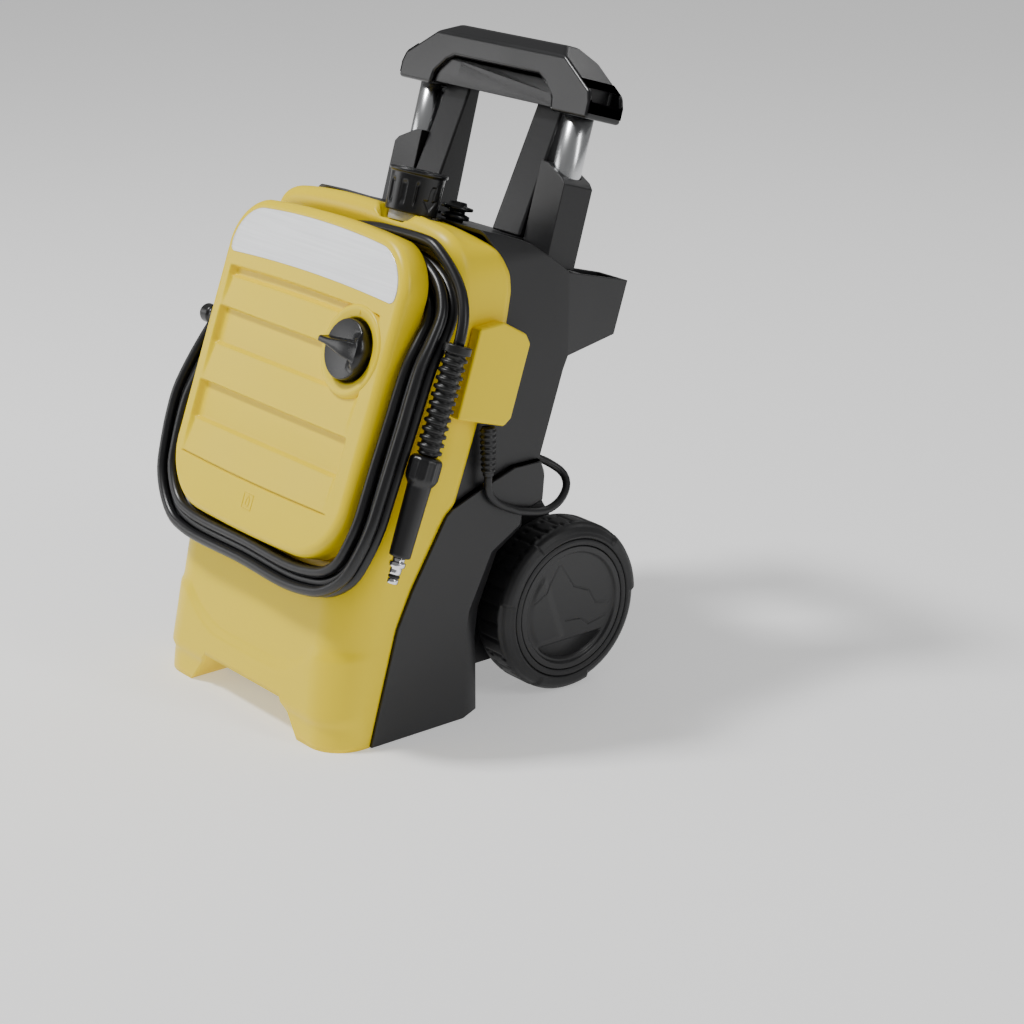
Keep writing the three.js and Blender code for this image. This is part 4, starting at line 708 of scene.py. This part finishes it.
def edged_copy(node, body, material, edge, segments=3):
    """The node's own solid with its loose triangles merged into flat faces and its sharp edges rounded."""
    mesh = frame["nodes"][node].data.copy()
    build = bmesh.new()
    build.from_mesh(mesh)
    bmesh.ops.remove_doubles(build, verts=build.verts, dist=1e-5)
    bmesh.ops.dissolve_limit(build, angle_limit=0.02, verts=build.verts, edges=build.edges)
    build.to_mesh(mesh)
    build.free()
    mesh.materials.clear()
    mesh.materials.append(material)
    mesh.polygons.foreach_set("use_smooth", [True] * len(mesh.polygons))
    mesh.polygons.foreach_set("material_index", [0] * len(mesh.polygons))
    piece = bpy.data.objects.new(node + "_moulding", mesh)
    bpy.context.scene.collection.objects.link(piece)
    rim = piece.modifiers.new("rim", "BEVEL")
    rim.width = edge
    rim.segments = segments
    rim.limit_method = "ANGLE"
    rim.angle_limit = np.radians(28)
    rim.use_clamp_overlap = False
    piece.modifiers.new("level", "WEIGHTED_NORMAL").keep_sharp = True
    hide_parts(node)
    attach(piece, body)


edged_copy("base_housing", "chassis", washer_black, 0.0009)
edged_copy("rear_housing", "chassis", washer_black, 0.0008)
edged_copy("carry_frame", "chassis", frame_black, 0.0022, 4)
for side in ("upper", "lower"):
    edged_copy("cable_hook_" + side, "chassis", washer_black, 0.0009)
edged_copy("cable_box", "chassis", washer_yellow, 0.0022, 4)
edged_copy("hose_spool", "chassis", washer_yellow, 0.0006)


# ---- telescopic handle ----
# Charcoal grip, a channel open below, on two silver anodised tubes 27 mm across that slide in the rear sleeves.
# A moulded shoe on each tube's foot stops it when the handle is drawn right out.
grip_black = grained("grip_black", (0.009, 0.009, 0.010), 0.32, grain=0.10, scale=1200)
tube_silver = grained("tube_silver", (0.66, 0.67, 0.68), 0.24, grain=0.10, scale=500, metal=1.0, sheen_gap=0.04,
                      streak=(1, 0.05, 0.02))
edged_copy("handle_grip", "handle", grip_black, 0.0032, 4)
TUBE_X, TUBE_Y, TUBE_Z = 106.0, 140.0, 540.0
TUBE_R, TUBE_BORE_R, TUBE_FOOT, TUBE_HEAD = 13.5, 11.5, -360, 6
SHOE_R, SHOE_H = 15, 12
tube_profile = rounded([(TUBE_BORE_R, TUBE_FOOT), (SHOE_R - 0.3, TUBE_FOOT), (SHOE_R, TUBE_FOOT + 0.3),
                        (SHOE_R, TUBE_FOOT + SHOE_H - 0.4), (SHOE_R - 0.3, TUBE_FOOT + SHOE_H),
                        (TUBE_R, TUBE_FOOT + SHOE_H), (TUBE_R, TUBE_HEAD), (TUBE_BORE_R, TUBE_HEAD),
                        (TUBE_BORE_R, TUBE_FOOT)], 60)
for name, side in (("left", -1), ("right", 1)):
    place = leaning_at(np.array([side * TUBE_X, TUBE_Y, TUBE_Z]))
    surface_piece("slide_tube_" + name, [(turned_grid(tube_profile, 64, place), False, True)], "handle",
                  tube_silver, ("handle_tube_" + name,))


# ---- wheels ----
# Black moulded plastic wheels, 162 mm across: a lugged rim, a dished disc and a charcoal cover with a raised wedge
# and cut lines. They turn on one steel axle and are held by spring clips.
WHEEL_X, AXLE_Y, AXLE_Z = 132, 90.5, 80.9
wheel_black = grained("wheel_black", (0.009, 0.009, 0.010), 0.50, grain=0.25, scale=700)
cover_charcoal = grained("cover_charcoal", (0.012, 0.012, 0.013), 0.38, grain=0.10, scale=1100)


def on_wheel(side):
    """Places round the axle on one side: forwards or back, up, and out from the wheel's middle plane."""
    def place(p, q, o):
        p, q, o = np.broadcast_arrays(p, q, o)
        return np.stack([side * (WHEEL_X + o), AXLE_Y + p, AXLE_Z + q], -1) / 1000
    return place


def tread(turn, o):
    """Shallow cross grooves, and two rows of small pockets in three stretches round the tread."""
    grooves = 1.3 * ease(np.cos(30 * turn) * 3 - 2.2) * ease((14 - np.abs(o)) / 3)
    rows = np.exp(-((np.abs(o - 3) - 9) / 2.4) ** 2) * (np.cos(3 * turn + 0.4) > 0.1)
    slots = 1.5 * ease(np.cos(54 * turn) * 2 - 0.6) * rows
    return -grooves - slots


def grip_bars(turn):
    """1 at the three raised grips over the outer shoulder, and 0 between them."""
    return ease((np.cos(3 * turn - 1.2) - 0.30) / 0.10)


def tyre_grid(side):
    """The rim's section carried round the axle: the tread is cut in, and the shoulder is lower between grips."""
    profile = np.array(rounded([(66.4, -22), (73, -22), (77, -20.4), (79.8, -17), (80.9, -12), (80.9, 12), (80.3, 17),
                                (78, 21), (74.5, 23.2), (72, 23.6), (68, 23.4), (66.6, 22.6), (66.4, -22)], 1.3))
    turn = np.linspace(0, 2 * np.pi, 360, endpoint=False)[None]
    radius, out = profile[:, :1] + 0 * turn, profile[:, 1:] + 0 * turn
    radius = radius + np.where(radius > 79.5, tread(turn, out), 0)
    shoulder = ease((out - 14) / 3) * ease((radius - 69.5) / 1.5)
    radius = radius - (1.6 * shoulder * ease((radius - 73) / 2)) * (1 - grip_bars(turn))
    out = out - 1.7 * shoulder * (1 - grip_bars(turn))
    return on_wheel(side)(radius * np.cos(turn), radius * np.sin(turn), out)


def cut_line(p, q, points, width):
    """How much a point lies in a cut that follows straight lines between the points."""
    nearest = np.full(p.shape, 1e3)
    for (x0, y0), (x1, y1) in zip(points[:-1], points[1:]):
        along = ((p - x0) * (x1 - x0) + (q - y0) * (y1 - y0)) / ((x1 - x0) ** 2 + (y1 - y0) ** 2)
        along = np.clip(along, 0, 1)
        nearest = np.minimum(nearest, np.hypot(p - x0 - along * (x1 - x0), q - y0 - along * (y1 - y0)))
    return ease((width - nearest) / 0.8)


def cover_out(p, q):
    """How far out the wheel cover stands: a rim, a dish, a raised wedge towards the front, cut lines and a slot."""
    r = np.hypot(p, q)
    out = 22.6 - 2.6 * ease((54.5 - r) / 2.2)
    wedge = ease((-p - 0.35 * q - 14) / 10) * ease((50 - r) / 5) * ease((q + 30) / 6)
    low = ease((-q - 30) / 3) * ease((51 - r) / 3)
    slot = ease((-q - 33) / 2) * ease((6 - np.abs(p + 2)) / 1) * ease((38 + q) / 1)
    out = out + 1.7 * wedge - 2.4 * low - 0.8 * slot
    lines = cut_line(p, q, [(-12, 44), (4, 20), (22, 12), (30, -2), (47, -6)], 0.9)
    lines = np.maximum(lines, cut_line(p, q, [(-6, -12), (12, -14), (22, -22), (44, -18)], 0.9))
    lines = np.maximum(lines, cut_line(p, q, [(-44, 14), (-28, 22), (-14, 44)], 0.9))
    return out - 0.8 * lines * (1 - low)


for name, side in (("left", -1), ("right", 1)):
    body = "wheel_" + name
    place = on_wheel(side)
    surface_piece("tread_" + name, [(tyre_grid(side), False, True)], body, wheel_black,
                  ("tyre_" + name,))
    disc = rounded([(6.25, -23), (14, -23), (14, 4), (59.8, 6), (59.8, -20), (66, -20), (66, 22.4), (65.4, 23),
                    (60.8, 23), (60.2, 22.4), (60, 12), (6.25, 12), (6.25, -23)], 6)
    surface_piece("rim_" + name, [(turned_grid(disc, 128, place), False, True)], body, wheel_black,
                  ("wheel_disc_" + name,))
    spread = np.linspace(0, 59.2, 84)[:, None]
    turn = np.linspace(0, 2 * np.pi, 240, endpoint=False)[None]
    p, q = spread * np.cos(turn), spread * np.sin(turn)
    face = place(p, q, cover_out(p, q))
    wall = [(59.6, 21.8), (59.6, 12.6), (56, 12.6), (53.6, 18.2), (0, 18.3)]
    wall = turned_grid([(59.2, float(cover_out(np.array(59.2), np.array(0.0))))] + wall, 240, place)
    surface_piece("hub_cover_" + name, [(face, False, True), (wall, False, True)], body,
                  cover_charcoal, ("wheel_cover_" + name,))


# ---- parts inside ----
# Motor, pump, pipes, springs, switch block and axle, as they are built; each keeps its own shape and gets the
# finish of its metal or plastic.
inner_finish = {
    "steel": grained("machined_steel", (0.50, 0.51, 0.53), 0.32, grain=0.2, scale=600, metal=1.0, streak=(1, 1, 0.1)),
    "cast_aluminium": grained("cast_alloy", (0.52, 0.53, 0.54), 0.50, grain=0.4, scale=260, metal=1.0),
    "brass_head": grained("machined_brass", (0.62, 0.46, 0.20), 0.34, grain=0.15, scale=600, metal=1.0),
    "copper_winding": grained("wound_copper", (0.48, 0.22, 0.10), 0.42, grain=0.5, scale=300, metal=1.0,
                              streak=(1, 1, 6)),
    "black_plastic": washer_black, "charcoal_plastic": cover_charcoal, "cable_sheath": cable_rubber,
    "yellow_plastic": washer_yellow, "anodised_tube": tube_silver, "grey_collar": socket_grey}
slot_of = {part["node"]: part["material_slot"] for part in frame["record"]["subparts"]}
for node, carried_over in frame["nodes"].items():
    if not carried_over.hide_render:
        carried_over.data.materials.clear()
        carried_over.data.materials.append(inner_finish[slot_of[node]])


# ---- floor and light ----
# Plain pale floor, a key light high on the left, a card low in front, and weaker lights on the right and behind.
floor_mesh = bpy.data.meshes.new("floor")
FLOOR_HALF, FLOOR_Z = 6, -0.0002
floor_mesh.from_pydata([(x * FLOOR_HALF, y * FLOOR_HALF, FLOOR_Z) for x, y in ((-1, -1), (1, -1), (1, 1), (-1, 1))],
                       [], [(0, 1, 2, 3)])
floor = bpy.data.objects.new("floor", floor_mesh)
bpy.context.scene.collection.objects.link(floor)
pale_floor = grained("pale_floor", (0.86, 0.86, 0.86), 0.8, grain=0.0, shine=0.1, drift=0.002)
pale_floor.node_tree.nodes["Principled BSDF"].inputs["Emission Color"].default_value = (1, 1, 1, 1)
pale_floor.node_tree.nodes["Principled BSDF"].inputs["Emission Strength"].default_value = 0.40
floor_mesh.materials.append(pale_floor)
room = bpy.data.worlds.new("room")
bpy.context.scene.world = room
room.use_nodes = True
room.node_tree.nodes["Background"].inputs["Color"].default_value = (1, 1, 1, 1)
room.node_tree.nodes["Background"].inputs["Strength"].default_value = 0.22


def soft_light(name, place, towards, width, power):
    """A rectangular lamp at a place, turned to face a point; width is its two sides in metres."""
    lamp = bpy.data.objects.new(name, bpy.data.lights.new(name, "AREA"))
    lamp.data.shape = "RECTANGLE"
    lamp.data.size, lamp.data.size_y = width
    lamp.data.energy = power
    lamp.location = place
    lamp.rotation_euler = (Vector(place) - Vector(towards)).to_track_quat("Z", "Y").to_euler()
    bpy.context.scene.collection.objects.link(lamp)


soft_light("key", (-0.8, -1.2, 2.9), (0, 0, 0.3), (0.45, 0.45), 78)
soft_light("card", (-1.8, -1.7, 0.9), (0, 0, 0.35), (1.6, 1.0), 13)
soft_light("side", (2.3, 0.6, 1.5), (0, 0, 0.3), (0.4, 1.6), 16)
soft_light("rim", (-0.4, 2.2, 2.0), (0, 0, 0.35), (1.6, 0.6), 7)
